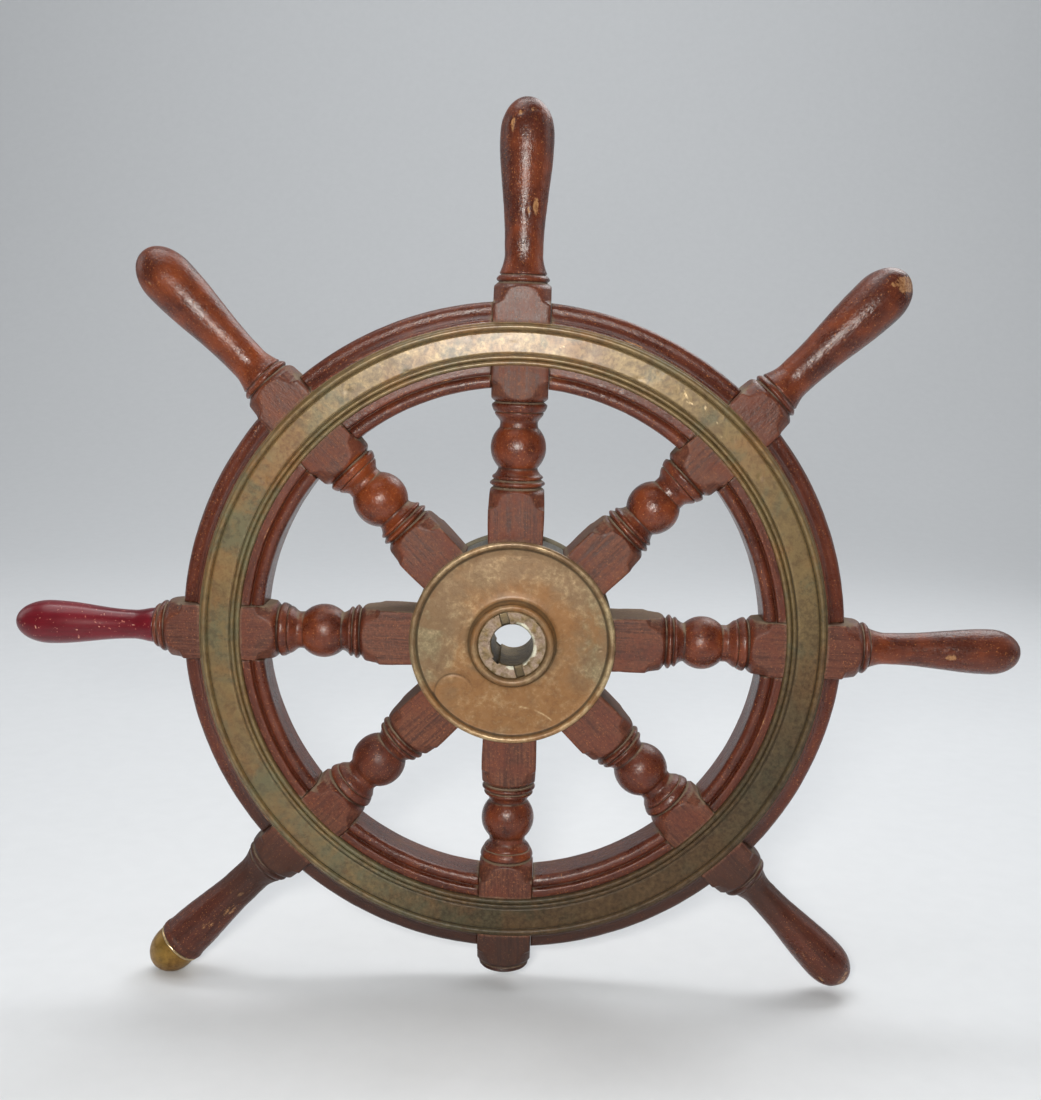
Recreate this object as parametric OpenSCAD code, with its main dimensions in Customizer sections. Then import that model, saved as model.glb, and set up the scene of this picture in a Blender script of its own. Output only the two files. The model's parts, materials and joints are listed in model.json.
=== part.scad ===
// Ship's steering wheel: eight turned spokes let into a moulded wooden rim,
// brass facing rings, and a wooden nave between two brass hub plates.
// The wheel stands upright. Its axis runs along Y and its front faces -Y.
// The origin is on the axis, in the middle of the spokes' depth.

/* [Rim] */
// Radius of the wooden rim's outer edge
rim_r = 215.8; // [205:0.1:280]
// Width of the wooden rim, from its outer edge to its inner edge
rim_w = 53; // [50:0.5:64]
// Length of each dowel that ties a rim segment to a spoke
dowel_len = 28; // [16:1:34]
// Radius of those dowels
dowel_r = 4; // [3:0.25:6]

/* [Brass rings] */
// Wood that shows outside the brass ring
ring_inset = 12.8; // [12:0.1:16]
// Width of the brass ring
ring_w = 26.5; // [22:0.5:28]
// Thickness of the ring at its flat band
ring_t = 3.2; // [2.8:0.1:5]
// Depth that each ring is let into the spokes' square blocks
ring_let = 2; // [0.5:0.1:3]
// Room around the ring where it is let in
ring_clear = 0.15; // [0.05:0.05:0.4]
// Radius of the ring screws' shanks
screw_r = 2.1; // [1.5:0.1:3]
// Radius of the ring screws' countersunk heads
screw_head_r = 4.2; // [3.5:0.1:5.5]

/* [Spokes] */
// Side of the square stock that each spoke is turned from
stock = 36; // [35:0.5:45]
// Distance from the rim's inner edge in to the middle of each ball
ball_set = 38.5; // [36:0.5:42]
// Length of square block that shows inside the rim
block_in = 9.1; // [8:0.1:12]
// Length of square block that shows outside the rim
block_out = 10.9; // [9:0.1:14]
// Length of a full handle, from its collar to its tip
grip_len = 102.9; // [80:0.1:125]
// Radius of a full handle at its thickest
grip_r = 16.8; // [14:0.1:18]
// Radius of a full handle at its neck
grip_neck_r = 12.1; // [9.5:0.1:13]
// Length of the slimmer handles on spokes 3 and 4
slim_len = 97.4; // [80:0.1:120]
// Radius of a slimmer handle at its thickest
slim_r = 14.8; // [13:0.1:17]
// Radius of a slimmer handle at its neck
slim_neck_r = 10.3; // [9:0.1:12]
// Length of the ogee shoulder where a square block turns round
shoulder = 13.6; // [9:0.1:16]
// Radius of the spoke on the hub side of its ball
neck_r = 12.6; // [10:0.1:13]

/* [Repairs] */
// Length of the replacement handle
red_len = 92.9; // [75:0.1:115]
// Radius of the replacement handle at its thickest
red_r = 14.3; // [13:0.1:18]
// Radius of the replacement handle's waist
red_waist_r = 9.6; // [8.5:0.1:12]
// Radius of the dowel that holds the replacement handle
red_dowel_r = 4.5; // [3.5:0.1:6]
// Radius of the broken dowel in the spoke that lost its handle
stub_dowel_r = 3.6; // [3:0.1:5]
// Length of that dowel that still stands out
stub_dowel_out = 4; // [2:0.5:8]
// Length of the handle that was cut short and capped, with its cap
capped_len = 105.6; // [85:0.1:125]
// Radius of the brass cap on that handle
cap_r = 15.6; // [14:0.1:16.5]
// Length of the brass cap
cap_len = 25; // [20:0.5:30]
// Wall of the cap's socket
cap_wall = 1.4; // [1:0.1:2]

/* [Hub] */
// Radius of the brass hub plates over their rolled edge
hub_r = 66.5; // [60:0.5:76]
// Thickness of a hub plate
plate_t = 3; // [2.6:0.1:5]
// Height of the plate's boss above the plate's seat
boss_h = 11; // [9:0.5:14]
// Width of each spoke's tenon
tenon_w = 23; // [18:0.5:26]
// Depth of each spoke's tenon
tenon_d = 20; // [14:0.5:26]
// Wood left between the bush and the tenons' ends
nave_wall = 12; // [11:0.5:16]
// Radius of the hub screws' shanks
hub_screw_r = 2.6; // [2:0.1:3.5]
// Radius of the hub screws' countersunk heads
hub_head_r = 5; // [4:0.1:6]

/* [Bush] */
// Radius of the bush's barrel
bush_r = 22; // [19:0.5:25]
// Radius of the shaft bore
bore_r = 13.5; // [10:0.1:15]
// Distance that the bush's ends lie below the crests of the bosses
bush_sunk = 1.5; // [0.5:0.1:3]
// Width of the keyway
key_w = 5; // [4:0.1:8]
// Depth of the keyway beyond the bore
key_d = 2.2; // [1.5:0.1:3]
// Width of the slots across the bush's front end
slot_w = 5; // [3:0.1:7]
// Depth of those slots
slot_d = 2.5; // [1.5:0.1:5]

/* [Hidden] */
$fn = 64;

pitch = 45;                              // angle between neighbouring spokes
half = stock / 2;
rim_in = rim_r - rim_w;
rim_half = half - ring_let;              // half the rim's depth
ring_out = rim_r - ring_inset;
ring_in = ring_out - ring_w;
band_r = (ring_out + ring_in) / 2;
ring_flat = rim_half + ring_t;           // the ring's flat band, from the mid-plane
ring_bite = ring_t * 0.75;               // thread engaged in the blind front ring
screw_gap = 0.15;                        // room around a screw's shank in wood
screw_off = 8;                           // angle of a screw from its segment's middle

ball_c = rim_in - ball_set;
ball_r = half - 0.5;
bead_r = half - 0.5;
ball_end = sqrt(ball_r * ball_r - neck_r * neck_r);
collar_len = 8.4;                        // the two beads beside the ball, hub side
inner_end = ball_c - ball_end - collar_len - 4.5;
outer_start = rim_in - block_in;
outer_end = rim_r + block_out;
grip_start = outer_end + 8.4;              // past the small collar
tip = grip_start + grip_len;
slim_tip = grip_start + slim_len;
red_tip = grip_start + red_len;
capped_tip = grip_start + capped_len;
reach = max(tip, slim_tip, red_tip, capped_tip);
env = stock * 0.75;                      // beyond the square's corners

nave_r = hub_r - 2.5;
tenon_in = bush_r + nave_wall;
bush_end = half + boss_h - bush_sunk;
stub_end = outer_end + 6.4;
cap_base = capped_tip - cap_len;
cap_socket = cap_len * 0.35;
spigot_r = cap_r - cap_wall;
key_angle = 225;
slot_angle = 107;

// n + 1 points round an arc, from angle a0 to a1
function arc(c, r, a0, a1, n) =
    [for (i = [0:n]) c + r * [cos(a0 + (a1 - a0) * i / n), sin(a0 + (a1 - a0) * i / n)]];
// a bead of a turning, from z0 to z1, that stands up from radius r0 to r1
function bead(r0, r1, z0, z1, n = 4) =
    [for (i = [0:n]) [r0 + (r1 - r0) * sin(180 * i / n), z0 + (z1 - z0) * i / n]];
// an ogee shoulder, from the square at z0 to radius r at z1: a hollow, then a round
function ogee_pts(r, z0, z1) = let(d = (z1 - z0) / 10) [
    [env, z0 - d], [half * 1.4, z0], [half * 1.2, z0 + 3 * d], [half * 1.1, z0 + 7 * d],
    [half * 1.02, z0 + 8.4 * d], [r, z1]
];
function ogee_rise(r, z0, z1) = let(pts = ogee_pts(r, z1, z0)) [for (i = [5:-1:0]) pts[i]];
// a swelling from radius r0 at z0 to r1 at z1, level at both ends
function swell(r0, r1, z0, z1, n = 6) =
    [for (i = [1:n]) [r0 + (r1 - r0) * (1 - cos(180 * i / n)) / 2, z0 + (z1 - z0) * i / n]];
// a rounded end from radius r at z0 to the axis at z1
function round_end(r, z0, z1, n = 6) =
    [for (i = [1:n]) [r * cos(90 * i / n), z0 + (z1 - z0) * sin(90 * i / n)]];

// spoke profile from the hub block out to the bead past the rim
trunk = concat(
    [[0, tenon_in], [env, tenon_in]],
    ogee_pts(half - 1.4, inner_end - shoulder, inner_end),
    [[half - 2.4, inner_end + 0.4]],
    bead(half - 2.4, bead_r, inner_end + 0.8, inner_end + 5.2),
    bead(half - 3.2, half - 1.8, inner_end + 5.6, inner_end + collar_len, 3),
    [[neck_r + 0.9, inner_end + collar_len + 1.6]],
    arc([0, ball_c], ball_r, -asin(ball_end / ball_r), asin(ball_end / ball_r), 10),
    swell(neck_r, half - 2.3, ball_c + ball_end, outer_start - 7.2, 4),
    [[half - 2.7, outer_start - 6.8], [half - 0.7, outer_start - 5], [half - 0.5, outer_start - 2]],
    [[half - 1.6, outer_start - 0.9], [half - 1.6, outer_start - 0.3]],
    ogee_rise(half - 1.2, outer_start, outer_start + shoulder),
    ogee_pts(half - 1.4, outer_end - shoulder, outer_end),
    [[half - 2.6, outer_end + 0.5]],
    bead(half - 2.6, half - 1.2, outer_end + 0.8, outer_end + 4.8)
);
// the ridge past the bead, and the hollow that leads to a grip's neck of radius r
function ridge(r) = [
    [r + 2.4, outer_end + 5], [r + 2.6, outer_end + 6.6], [r + 1.9, grip_start],
    [r + 0.6, grip_start + 3.4], [r, grip_start + 9]
];
// the ridge and grip of an unbroken spoke: neck radius r0, thick radius r1, tip at z1
function grip(r0, r1, z1) = concat(
    ridge(r0),
    swell(r0, r1, grip_start + 14, z1 - r1 * 1.37, 8),
    round_end(r1, z1 - r1 * 1.37, z1)
);
// the roughly shaped grip that was cut short for the cap
capped = concat(
    ridge(grip_neck_r),
    swell(grip_neck_r, cap_r + 0.3, grip_start + 20, cap_base - 6, 5),
    [[cap_r + 1, cap_base - 2], [cap_r + 0.8, cap_base], [spigot_r, cap_base]],
    [[spigot_r, cap_base + cap_socket], [0, cap_base + cap_socket]]
);
red_end = [[half - 4.2, outer_end + 5], [half - 4.2, grip_start], [0, grip_start]];
stub_profile_end = [[half - 6, stub_end], [0, stub_end]];

module along_spoke(k) {
    rotate([0, pitch * (k - 1), 0]) children();
}

module turning(profile) {
    rotate_extrude($fn = 40) polygon(profile);
}

// a solid of revolution about the wheel's axis, whose profile height points to -Y
module facing(profile, fn = 120) {
    rotate([90, 0, 0]) rotate_extrude($fn = fn) polygon(profile);
}

// the felloe dowels' places beside spoke k
module at_felloe_dowels(k) {
    along_spoke(k) for (side = [-1, 1])
        translate([side * half, 0, (rim_r + rim_in) / 2]) rotate([0, 90, 0]) children();
}

// places round the axis, at radius r and angle a from upright, with +Z turned to +Y
module at_polar(r, a) {
    rotate([0, a, 0]) translate([0, 0, r]) rotate([-90, 0, 0]) children();
}

module spoke(k, profile, hole_r, hole_from) {
    color("sienna") along_spoke(k) difference() {
        union() {
            difference() {
                intersection() {
                    turning(profile);
                    translate([-half, -half, 0]) cube([stock, stock, reach + 1]);
                }
                rotate([90, 0, 0]) cylinder(r = nave_r, h = 2 * stock, center = true, $fn = 120);
            }
            translate([-tenon_w / 2, -tenon_d / 2, tenon_in]) cube([tenon_w, tenon_d, nave_r - tenon_in + 2]);
        }
        for (side = [0, 1]) mirror([0, side, 0])
            translate([0, -rim_half, 0]) rotate([90, 0, 0]) difference() {
                cylinder(r = ring_out + ring_clear, h = stock, $fn = 120);
                translate([0, 0, -1]) cylinder(r = ring_in - ring_clear, h = stock + 2, $fn = 120);
            }
        for (side = [-1, 1]) translate([side * half, 0, (rim_r + rim_in) / 2])
            rotate([0, 90, 0]) cylinder(r = dowel_r, h = dowel_len, center = true, $fn = 32);
        if (hole_r > 0) translate([0, 0, hole_from]) cylinder(r = hole_r, h = reach, $fn = 32);
    }
}

// half the rim's section, from the mid-plane to the front, inner edge first
rim_half_pts = concat(
    [[rim_in, 0]],
    arc([rim_in + 4.2, rim_half - 5.2], 4.2, 180, 20, 5),
    [[rim_in + 8.6, rim_half], [rim_r - ring_inset + 1.2, rim_half]],
    arc([rim_r - 5, rim_half + 0.2], 6, 190, 265, 4),
    arc([rim_r - 4.6, rim_half - 10.4], 4.6, 75, 0, 3),
    [[rim_r, 0]]
);
rim_section = concat(rim_half_pts,
    [for (i = [len(rim_half_pts) - 2:-1:1]) [rim_half_pts[i][0], -rim_half_pts[i][1]]]);

module felloe(k) {
    color("saddlebrown") difference() {
        rotate([90, 0, 0]) rotate([0, 0, 90 - pitch * k])
            rotate_extrude(angle = pitch, $fn = 120) polygon(rim_section);
        for (j = [k, k + 1]) {
            along_spoke(j) translate([-half, -stock, 0]) cube([stock, 2 * stock, 2 * rim_r]);
            at_felloe_dowels(j) cylinder(r = dowel_r, h = dowel_len, center = true, $fn = 32);
        }
        for (side = [-1, 1]) at_polar(band_r, pitch * (k - 0.5) + side * screw_off)
            cylinder(r = screw_r + screw_gap, h = stock, center = true, $fn = 24);
    }
}

// beads and a flat band, with the seat at height 0
ring_pts = concat(
    [[ring_in, 0]],
    arc([ring_in + 1.6, ring_t - 0.9], 1.6, 180, 20, 4),
    arc([ring_in + 5, ring_t - 0.8], 1.4, 160, 20, 4),
    [[ring_in + 6.9, ring_t - 0.8], [ring_in + 7.4, ring_t], [ring_out - 6, ring_t]],
    [[ring_out - 5.4, ring_t - 0.8]],
    arc([ring_out - 3, ring_t - 0.9], 2, 160, 20, 4),
    [[ring_out - 0.9, ring_t - 0.8], [ring_out, ring_t - 0.9], [ring_out, 0]]
);

module ring_body() {
    translate([0, -rim_half, 0]) facing(ring_pts);
}

// a countersunk screw with its head flush at height 0 and its shank running down -Z
module screw(r, head_r, len) {
    difference() {
        union() {
            translate([0, 0, -len]) cylinder(r = r, h = len, $fn = 24);
            translate([0, 0, r - head_r]) cylinder(r1 = r, r2 = head_r, h = head_r - r, $fn = 24);
        }
        translate([-head_r - 1, -0.6, -1]) cube([2 * head_r + 2, 1.2, 2]);
    }
}

// the hole that such a screw fills
module screw_hole(r, head_r, len) {
    translate([0, 0, -len]) cylinder(r = r, h = len + 1, $fn = 24);
    translate([0, 0, r - head_r]) cylinder(r1 = r, r2 = head_r, h = head_r - r, $fn = 24);
}

module at_ring_screws() {
    for (k = [1:8], side = [-1, 1])
        at_polar(band_r, pitch * (k - 0.5) + side * screw_off) translate([0, 0, ring_flat]) children();
}

module at_hub_screws() {
    for (k = [0:3]) at_polar(hub_r - 11, 22.5 + 90 * k) translate([0, 0, half + plate_t]) children();
}

// hub plate with a rolled edge and a rounded boss, with the seat at height 0
plate_pts = concat(
    [[bush_r, 0], [bush_r, boss_h - 2.2]],
    arc([bush_r + 2.6, boss_h - 2.4], 2.4, 175, 10, 5),
    [[bush_r + 5.6, plate_t + 3.2], [bush_r + 7, plate_t + 1.2], [bush_r + 9.5, plate_t]],
    [[hub_r - 4.6, plate_t], [hub_r - 3.7, plate_t + 0.6]],
    arc([hub_r - 1.9, plate_t + 0.4], 1.9, 150, -90, 8),
    [[nave_r, 0]]
);

module plate_body() {
    translate([0, -half, 0]) facing(plate_pts);
}

module front_ring() {
    color("darkgoldenrod") difference() {
        ring_body();
        at_ring_screws() translate([0, 0, -ring_flat - rim_half - ring_bite])
            cylinder(r = screw_r, h = ring_flat, $fn = 24);
    }
}

module back_ring() {
    color("goldenrod") difference() {
        mirror([0, 1, 0]) ring_body();
        at_ring_screws() screw_hole(screw_r, screw_head_r, stock);
    }
}

module ring_screws() {
    color("khaki") at_ring_screws() screw(screw_r, screw_head_r, ring_flat + rim_half + ring_bite);
}

module felloe_dowels() {
    color("tan") for (k = [1:8]) at_felloe_dowels(k)
        cylinder(r = dowel_r, h = dowel_len, center = true, $fn = 32);
}

module hub_nave() {
    color("peru") difference() {
        rotate([90, 0, 0]) cylinder(r = nave_r, h = stock, center = true, $fn = 120);
        rotate([90, 0, 0]) cylinder(r = bush_r, h = stock + 2, center = true);
        for (k = [1:8]) along_spoke(k) translate([-tenon_w / 2, -tenon_d / 2, tenon_in])
            cube([tenon_w, tenon_d, nave_r]);
        at_hub_screws() cylinder(r = hub_screw_r + screw_gap, h = 3 * stock, center = true, $fn = 24);
    }
}

module hub_front_plate() {
    color("gold") difference() {
        plate_body();
        at_hub_screws() translate([0, 0, -stock - 1.7 * plate_t])
            cylinder(r = hub_screw_r, h = stock, $fn = 24);
    }
}

module hub_back_plate() {
    color("orange") difference() {
        mirror([0, 1, 0]) plate_body();
        at_hub_screws() screw_hole(hub_screw_r, hub_head_r, stock);
    }
}

module hub_screws() {
    color("lemonchiffon") at_hub_screws() screw(hub_screw_r, hub_head_r, stock + 1.7 * plate_t);
}

module bush() {
    color("rosybrown") difference() {
        rotate([90, 0, 0]) cylinder(r = bush_r, h = 2 * bush_end, center = true);
        rotate([90, 0, 0]) cylinder(r = bore_r, h = 2 * bush_end + 2, center = true);
        rotate([0, 90 - key_angle, 0]) translate([-key_w / 2, -bush_end - 1, 0])
            cube([key_w, 2 * bush_end + 2, bore_r + key_d]);
        rotate([0, 90 - slot_angle, 0]) translate([-slot_w / 2, -bush_end - 1, -bush_r - 1])
            cube([slot_w, slot_d + 1, 2 * bush_r + 2]);
    }
}

module red_handle() {
    color("crimson") along_spoke(7) difference() {
        turning(concat(
            [[0, grip_start], [red_waist_r + 1.8, grip_start]],
            swell(red_waist_r + 1.8, red_waist_r, grip_start, grip_start + 15, 4),
            swell(red_waist_r, red_r, grip_start + 15, red_tip - red_r * 1.6),
            round_end(red_r, red_tip - red_r * 1.6, red_tip)
        ));
        translate([0, 0, grip_start - 1]) cylinder(r = red_dowel_r, h = red_len / 4 + 1, $fn = 32);
    }
}

module red_handle_dowel() {
    color("burlywood") along_spoke(7) translate([0, 0, grip_start - red_len / 4])
        cylinder(r = red_dowel_r, h = red_len / 2, $fn = 32);
}

module stub_dowel() {
    color("wheat") along_spoke(5) translate([0, 0, stub_end - grip_len / 4])
        cylinder(r = stub_dowel_r, h = grip_len / 4 + stub_dowel_out, $fn = 32);
}

module end_cap() {
    color("yellow") along_spoke(6) difference() {
        turning(concat(
            [[0, cap_base], [cap_r + 0.5, cap_base], [cap_r + 0.6, cap_base + 0.8]],
            [[cap_r, cap_base + 1.6], [cap_r, cap_base + cap_len - cap_r * 1.2]],
            round_end(cap_r, cap_base + cap_len - cap_r * 1.2, capped_tip)
        ));
        translate([0, 0, cap_base - 1]) cylinder(r = spigot_r, h = cap_socket + 1, $fn = 40);
    }
}

module whole_spoke(k) {
    spoke(k, concat(trunk, grip(grip_neck_r, grip_r, tip)), 0, 0);
}

module slim_spoke(k) {
    spoke(k, concat(trunk, grip(slim_neck_r, slim_r, slim_tip)), 0, 0);
}

// the spoke that lost its handle
module stub_spoke(k) {
    spoke(k, concat(trunk, stub_profile_end), stub_dowel_r, stub_end - grip_len / 4);
}

// the spoke whose handle was cut short for the brass cap
module capped_spoke(k) {
    spoke(k, concat(trunk, capped), 0, 0);
}

// the spoke that takes the replacement handle
module mended_spoke(k) {
    spoke(k, concat(trunk, red_end), red_dowel_r, grip_start - red_len / 4);
}

whole_spoke(1);  // spoke_1
whole_spoke(2);  // spoke_2
slim_spoke(3);  // spoke_3
slim_spoke(4);  // spoke_4
stub_spoke(5);  // spoke_5
capped_spoke(6);  // spoke_6
mended_spoke(7);  // spoke_7
whole_spoke(8);  // spoke_8
felloe(1);  // felloe_1
felloe(2);  // felloe_2
felloe(3);  // felloe_3
felloe(4);  // felloe_4
felloe(5);  // felloe_5
felloe(6);  // felloe_6
felloe(7);  // felloe_7
felloe(8);  // felloe_8
felloe_dowels();
front_ring();
back_ring();
ring_screws();
hub_nave();
hub_front_plate();
hub_back_plate();
hub_screws();
bush();
red_handle();
red_handle_dowel();
stub_dowel();
end_cap();
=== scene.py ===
"""Ship's steering wheel: turned spokes, moulded rim, brass rings and a brass-plated hub.

Every piece is a surface worked out on a grid and stands where the frame's CAD nodes say.
Lengths are in metres. A spoke's own frame has its axis along +Z and the wheel's front at -Y.
"""
import json
import math

import bpy
import numpy as np
from bpy.props import FloatProperty, FloatVectorProperty, PointerProperty
from mathutils import Matrix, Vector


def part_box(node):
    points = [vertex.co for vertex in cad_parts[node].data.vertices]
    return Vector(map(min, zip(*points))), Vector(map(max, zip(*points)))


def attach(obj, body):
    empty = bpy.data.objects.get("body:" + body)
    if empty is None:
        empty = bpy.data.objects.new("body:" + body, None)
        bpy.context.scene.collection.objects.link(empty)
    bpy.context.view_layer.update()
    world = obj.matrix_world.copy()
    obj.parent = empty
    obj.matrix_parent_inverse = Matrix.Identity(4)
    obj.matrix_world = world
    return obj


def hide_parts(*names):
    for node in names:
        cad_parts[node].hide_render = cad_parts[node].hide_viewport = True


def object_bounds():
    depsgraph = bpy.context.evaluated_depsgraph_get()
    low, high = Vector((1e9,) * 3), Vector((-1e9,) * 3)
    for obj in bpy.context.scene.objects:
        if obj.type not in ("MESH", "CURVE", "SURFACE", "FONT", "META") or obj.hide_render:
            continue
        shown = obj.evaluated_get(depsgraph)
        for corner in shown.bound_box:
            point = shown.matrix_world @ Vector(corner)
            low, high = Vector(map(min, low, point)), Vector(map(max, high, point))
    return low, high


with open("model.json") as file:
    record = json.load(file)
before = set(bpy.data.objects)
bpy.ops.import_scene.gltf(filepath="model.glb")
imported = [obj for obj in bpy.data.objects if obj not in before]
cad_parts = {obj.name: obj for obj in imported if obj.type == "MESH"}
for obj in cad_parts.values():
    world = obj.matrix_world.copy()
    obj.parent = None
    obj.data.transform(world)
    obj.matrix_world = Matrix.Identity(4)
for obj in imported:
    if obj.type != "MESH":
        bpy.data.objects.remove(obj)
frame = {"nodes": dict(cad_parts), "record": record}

bl_info = {
    "name": "Ship's Steering Wheel",
    "version": (1, 0, 0),
    "blender": (4, 5, 0),
    "location": "View3D > Sidebar > Ship's Wheel",
    "description": "Builds an old eight-spoked ship's wheel of turned wood and brass",
    "category": "Add Mesh",
}

CAD_BOUNDS = [list(corner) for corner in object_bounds()]
MM = 0.001
SPOKES = 8
PITCH = 2 * math.pi / SPOKES
BROKEN, CAPPED, MENDED = 5, 6, 7     # spokes without a plain handle, clockwise from the top
SLIM = (3, 4)                        # spokes with slimmer handles
LATHE_COLUMNS = 112                  # points round a turned piece


def low(node, axis):
    """The node's lowest coordinate along an axis."""
    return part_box(node)[0][axis]


def high(node, axis):
    """The node's highest coordinate along an axis."""
    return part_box(node)[1][axis]


STOCK_HALF = high("spoke_1", 0)
TENON_END = low("spoke_1", 2)
TIP = high("spoke_1", 2)
SLIM_TIP = high("spoke_3", 0)
RED_TIP = -low("red_handle", 0)
NAVE_R = high("hub_nave", 0)
NAVE_HALF = high("hub_nave", 1)
HUB_R = high("hub_front_plate", 0)
HUB_FRONT = -low("hub_front_plate", 1)
RING_OUT = high("front_ring", 0)
RING_SEAT = -high("front_ring", 1)
RING_FRONT = -low("front_ring", 1)
RIM_OUT = math.hypot(STOCK_HALF, high("felloe_1", 2))
RIM_IN = math.hypot(low("felloe_1", 2), low("felloe_1", 2) - STOCK_HALF * math.sqrt(2))
BUSH_R = high("bush", 0)
BUSH_END = high("bush", 1)
BORE_R = next(m for m in frame["record"]["mounts"] if m["name"] == "shaft_bore")["dims"]["r_mm"] * MM
COLLAR_END = -high("red_handle", 0)  # the replacement handle butts here
STUB_TIP = -low("stub_dowel", 2)


# Settings a user would change

def size_prop(name, description, default):
    """A length that a user can set, in metres."""
    return FloatProperty(
        name=name, description=description, default=default, unit='LENGTH', subtype='DISTANCE')


def colour_prop(name, description, default):
    """A colour that a user can set."""
    return FloatVectorProperty(name=name, description=description, default=default, subtype='COLOR')


class WheelSizes(bpy.types.PropertyGroup):
    """Lengths of the turning and the mouldings."""
    ball_set: size_prop("Ball Setback", "From the rim's inner edge in to the middle of each ball", 0.0385)
    ball_r: size_prop("Ball Radius", "Radius of the ball on each spoke", 0.0175)
    neck_r: size_prop("Neck Radius", "Radius of the spoke beside its ball", 0.0126)
    block_in: size_prop("Block Inside", "Square block that shows inside the rim", 0.0091)
    block_out: size_prop("Block Outside", "Square block that shows outside the rim", 0.0109)
    shoulder: size_prop("Shoulder", "Length of the ogee where a block turns round", 0.0136)
    collar: size_prop("Collar", "Length of the small collar between a block and a handle", 0.0084)
    grip_r: size_prop("Grip Radius", "Radius of a full handle at its thickest", 0.0168)
    grip_neck_r: size_prop("Grip Neck", "Radius of a full handle at its neck", 0.0121)
    slim_r: size_prop("Slim Grip Radius", "Radius of a slimmer handle at its thickest", 0.0148)
    slim_neck_r: size_prop("Slim Grip Neck", "Radius of a slimmer handle at its neck", 0.0103)
    red_r: size_prop("Red Grip Radius", "Radius of the replacement handle at its thickest", 0.0143)
    red_waist_r: size_prop("Red Grip Waist", "Radius of the replacement handle's waist", 0.0096)
    capped_len: size_prop("Capped Handle", "Length of the capped handle, with its cap", 0.1056)
    cap_len: size_prop("Cap Length", "Length of the brass cap", 0.025)
    cap_r: size_prop("Cap Radius", "Radius of the brass cap", 0.0156)
    ring_width: size_prop("Ring Width", "Width of the brass ring", 0.0265)
    plate_t: size_prop("Plate Thickness", "Thickness of a hub plate", 0.003)


class WheelColours(bpy.types.PropertyGroup):
    """Colours of the finishes."""
    wood_dark: colour_prop("Dark Wood", "Mahogany where old varnish has gone dark", (0.034, 0.008, 0.005))
    wood_mid: colour_prop("Mahogany", "The wood's main colour", (0.112, 0.025, 0.011))
    wood_warm: colour_prop(
        "Warm Wood", "Orange-brown where hands have rubbed the varnish thin", (0.200, 0.040, 0.008))
    wood_matt: colour_prop(
        "Matt Wood", "Sawn faces of the blocks, their varnish worn off", (0.158, 0.058, 0.031))
    bare_wood: colour_prop("Bare Wood", "Fresh wood in chips and worn tips", (0.360, 0.180, 0.075))
    dust: colour_prop("Dust", "Grey-tan dust in grooves and on upper sides", (0.200, 0.150, 0.100))
    brass: colour_prop("Ring Brass", "Aged brass of the rings", (0.165, 0.109, 0.040))
    brass_bright: colour_prop("Bright Brass", "Brass rubbed bright on raised edges", (0.620, 0.470, 0.265))
    brass_brown: colour_prop("Brown Patina", "Orange-brown tarnish on brass", (0.200, 0.094, 0.024))
    verdigris: colour_prop("Verdigris", "Dull green tarnish on brass", (0.095, 0.095, 0.045))
    plate: colour_prop("Plate Brass", "Aged brass of the hub plates", (0.168, 0.101, 0.048))
    plate_orange: colour_prop("Plate Tarnish", "Orange tarnish round the boss", (0.225, 0.100, 0.026))
    red: colour_prop("Red Varnish", "Varnish of the replacement handle", (0.150, 0.004, 0.011))


class WheelStage(bpy.types.PropertyGroup):
    """Camera and lights."""
    lens: FloatProperty(
        name="Focal Length", description="Camera lens in millimetres",
        default=44.08, subtype='DISTANCE_CAMERA')
    key_power: FloatProperty(
        name="Key Light", description="Power of the softbox beside the camera",
        default=4.9, unit='POWER')
    fill_power: FloatProperty(
        name="Fill Light", description="Power of the large overhead softbox",
        default=12.0, unit='POWER')


# Smooth random fields

class Lumps:
    """Smooth random lumps in space, between about -1 and 1, worked out on whole arrays."""

    def __init__(self, seed):
        self.table = np.random.default_rng(seed).uniform(-1, 1, (32, 32, 32))

    def field(self, points, size):
        """Value noise: random numbers at the corners of cubes of the given size, blended smoothly."""
        scaled = np.asarray(points) / size
        base = np.floor(scaled).astype(int)
        part = scaled - base
        part = part * part * (3 - 2 * part)
        total = 0
        for corner in np.ndindex(2, 2, 2):
            index = (base + corner) % 32
            weight = np.prod(np.where(corner, part, 1 - part), axis=-1)
            total = total + weight * self.table[index[..., 0], index[..., 1], index[..., 2]]
        return total

    def rough(self, points, size, octaves=3):
        """Several fields, each half the size and about half the height of the one before."""
        points = np.asarray(points)
        return sum(self.field(points + 7.7 * i * size, size / 2 ** i) * 0.55 ** i for i in range(octaves))


def unit(value):
    """The value held between 0 and 1."""
    return np.clip(value, 0, 1)


def fade(value, start, end):
    """0 at start, 1 at end, with a smooth S between."""
    t = unit((np.asarray(value) - start) / (end - start))
    return t * t * (3 - 2 * t)


def hump(value, centre, width):
    """A bell of height 1 at the centre."""
    return np.exp(-((np.asarray(value) - centre) / width) ** 2)


def painted_lower_shade(points):
    """Painted shade on the wheel's lower side: 0 at the level of the hub, rising towards the bottom."""
    return 0.8 * fade(-points[..., 2] / RIM_OUT, 0.15, 0.85)


# Outlines

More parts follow.
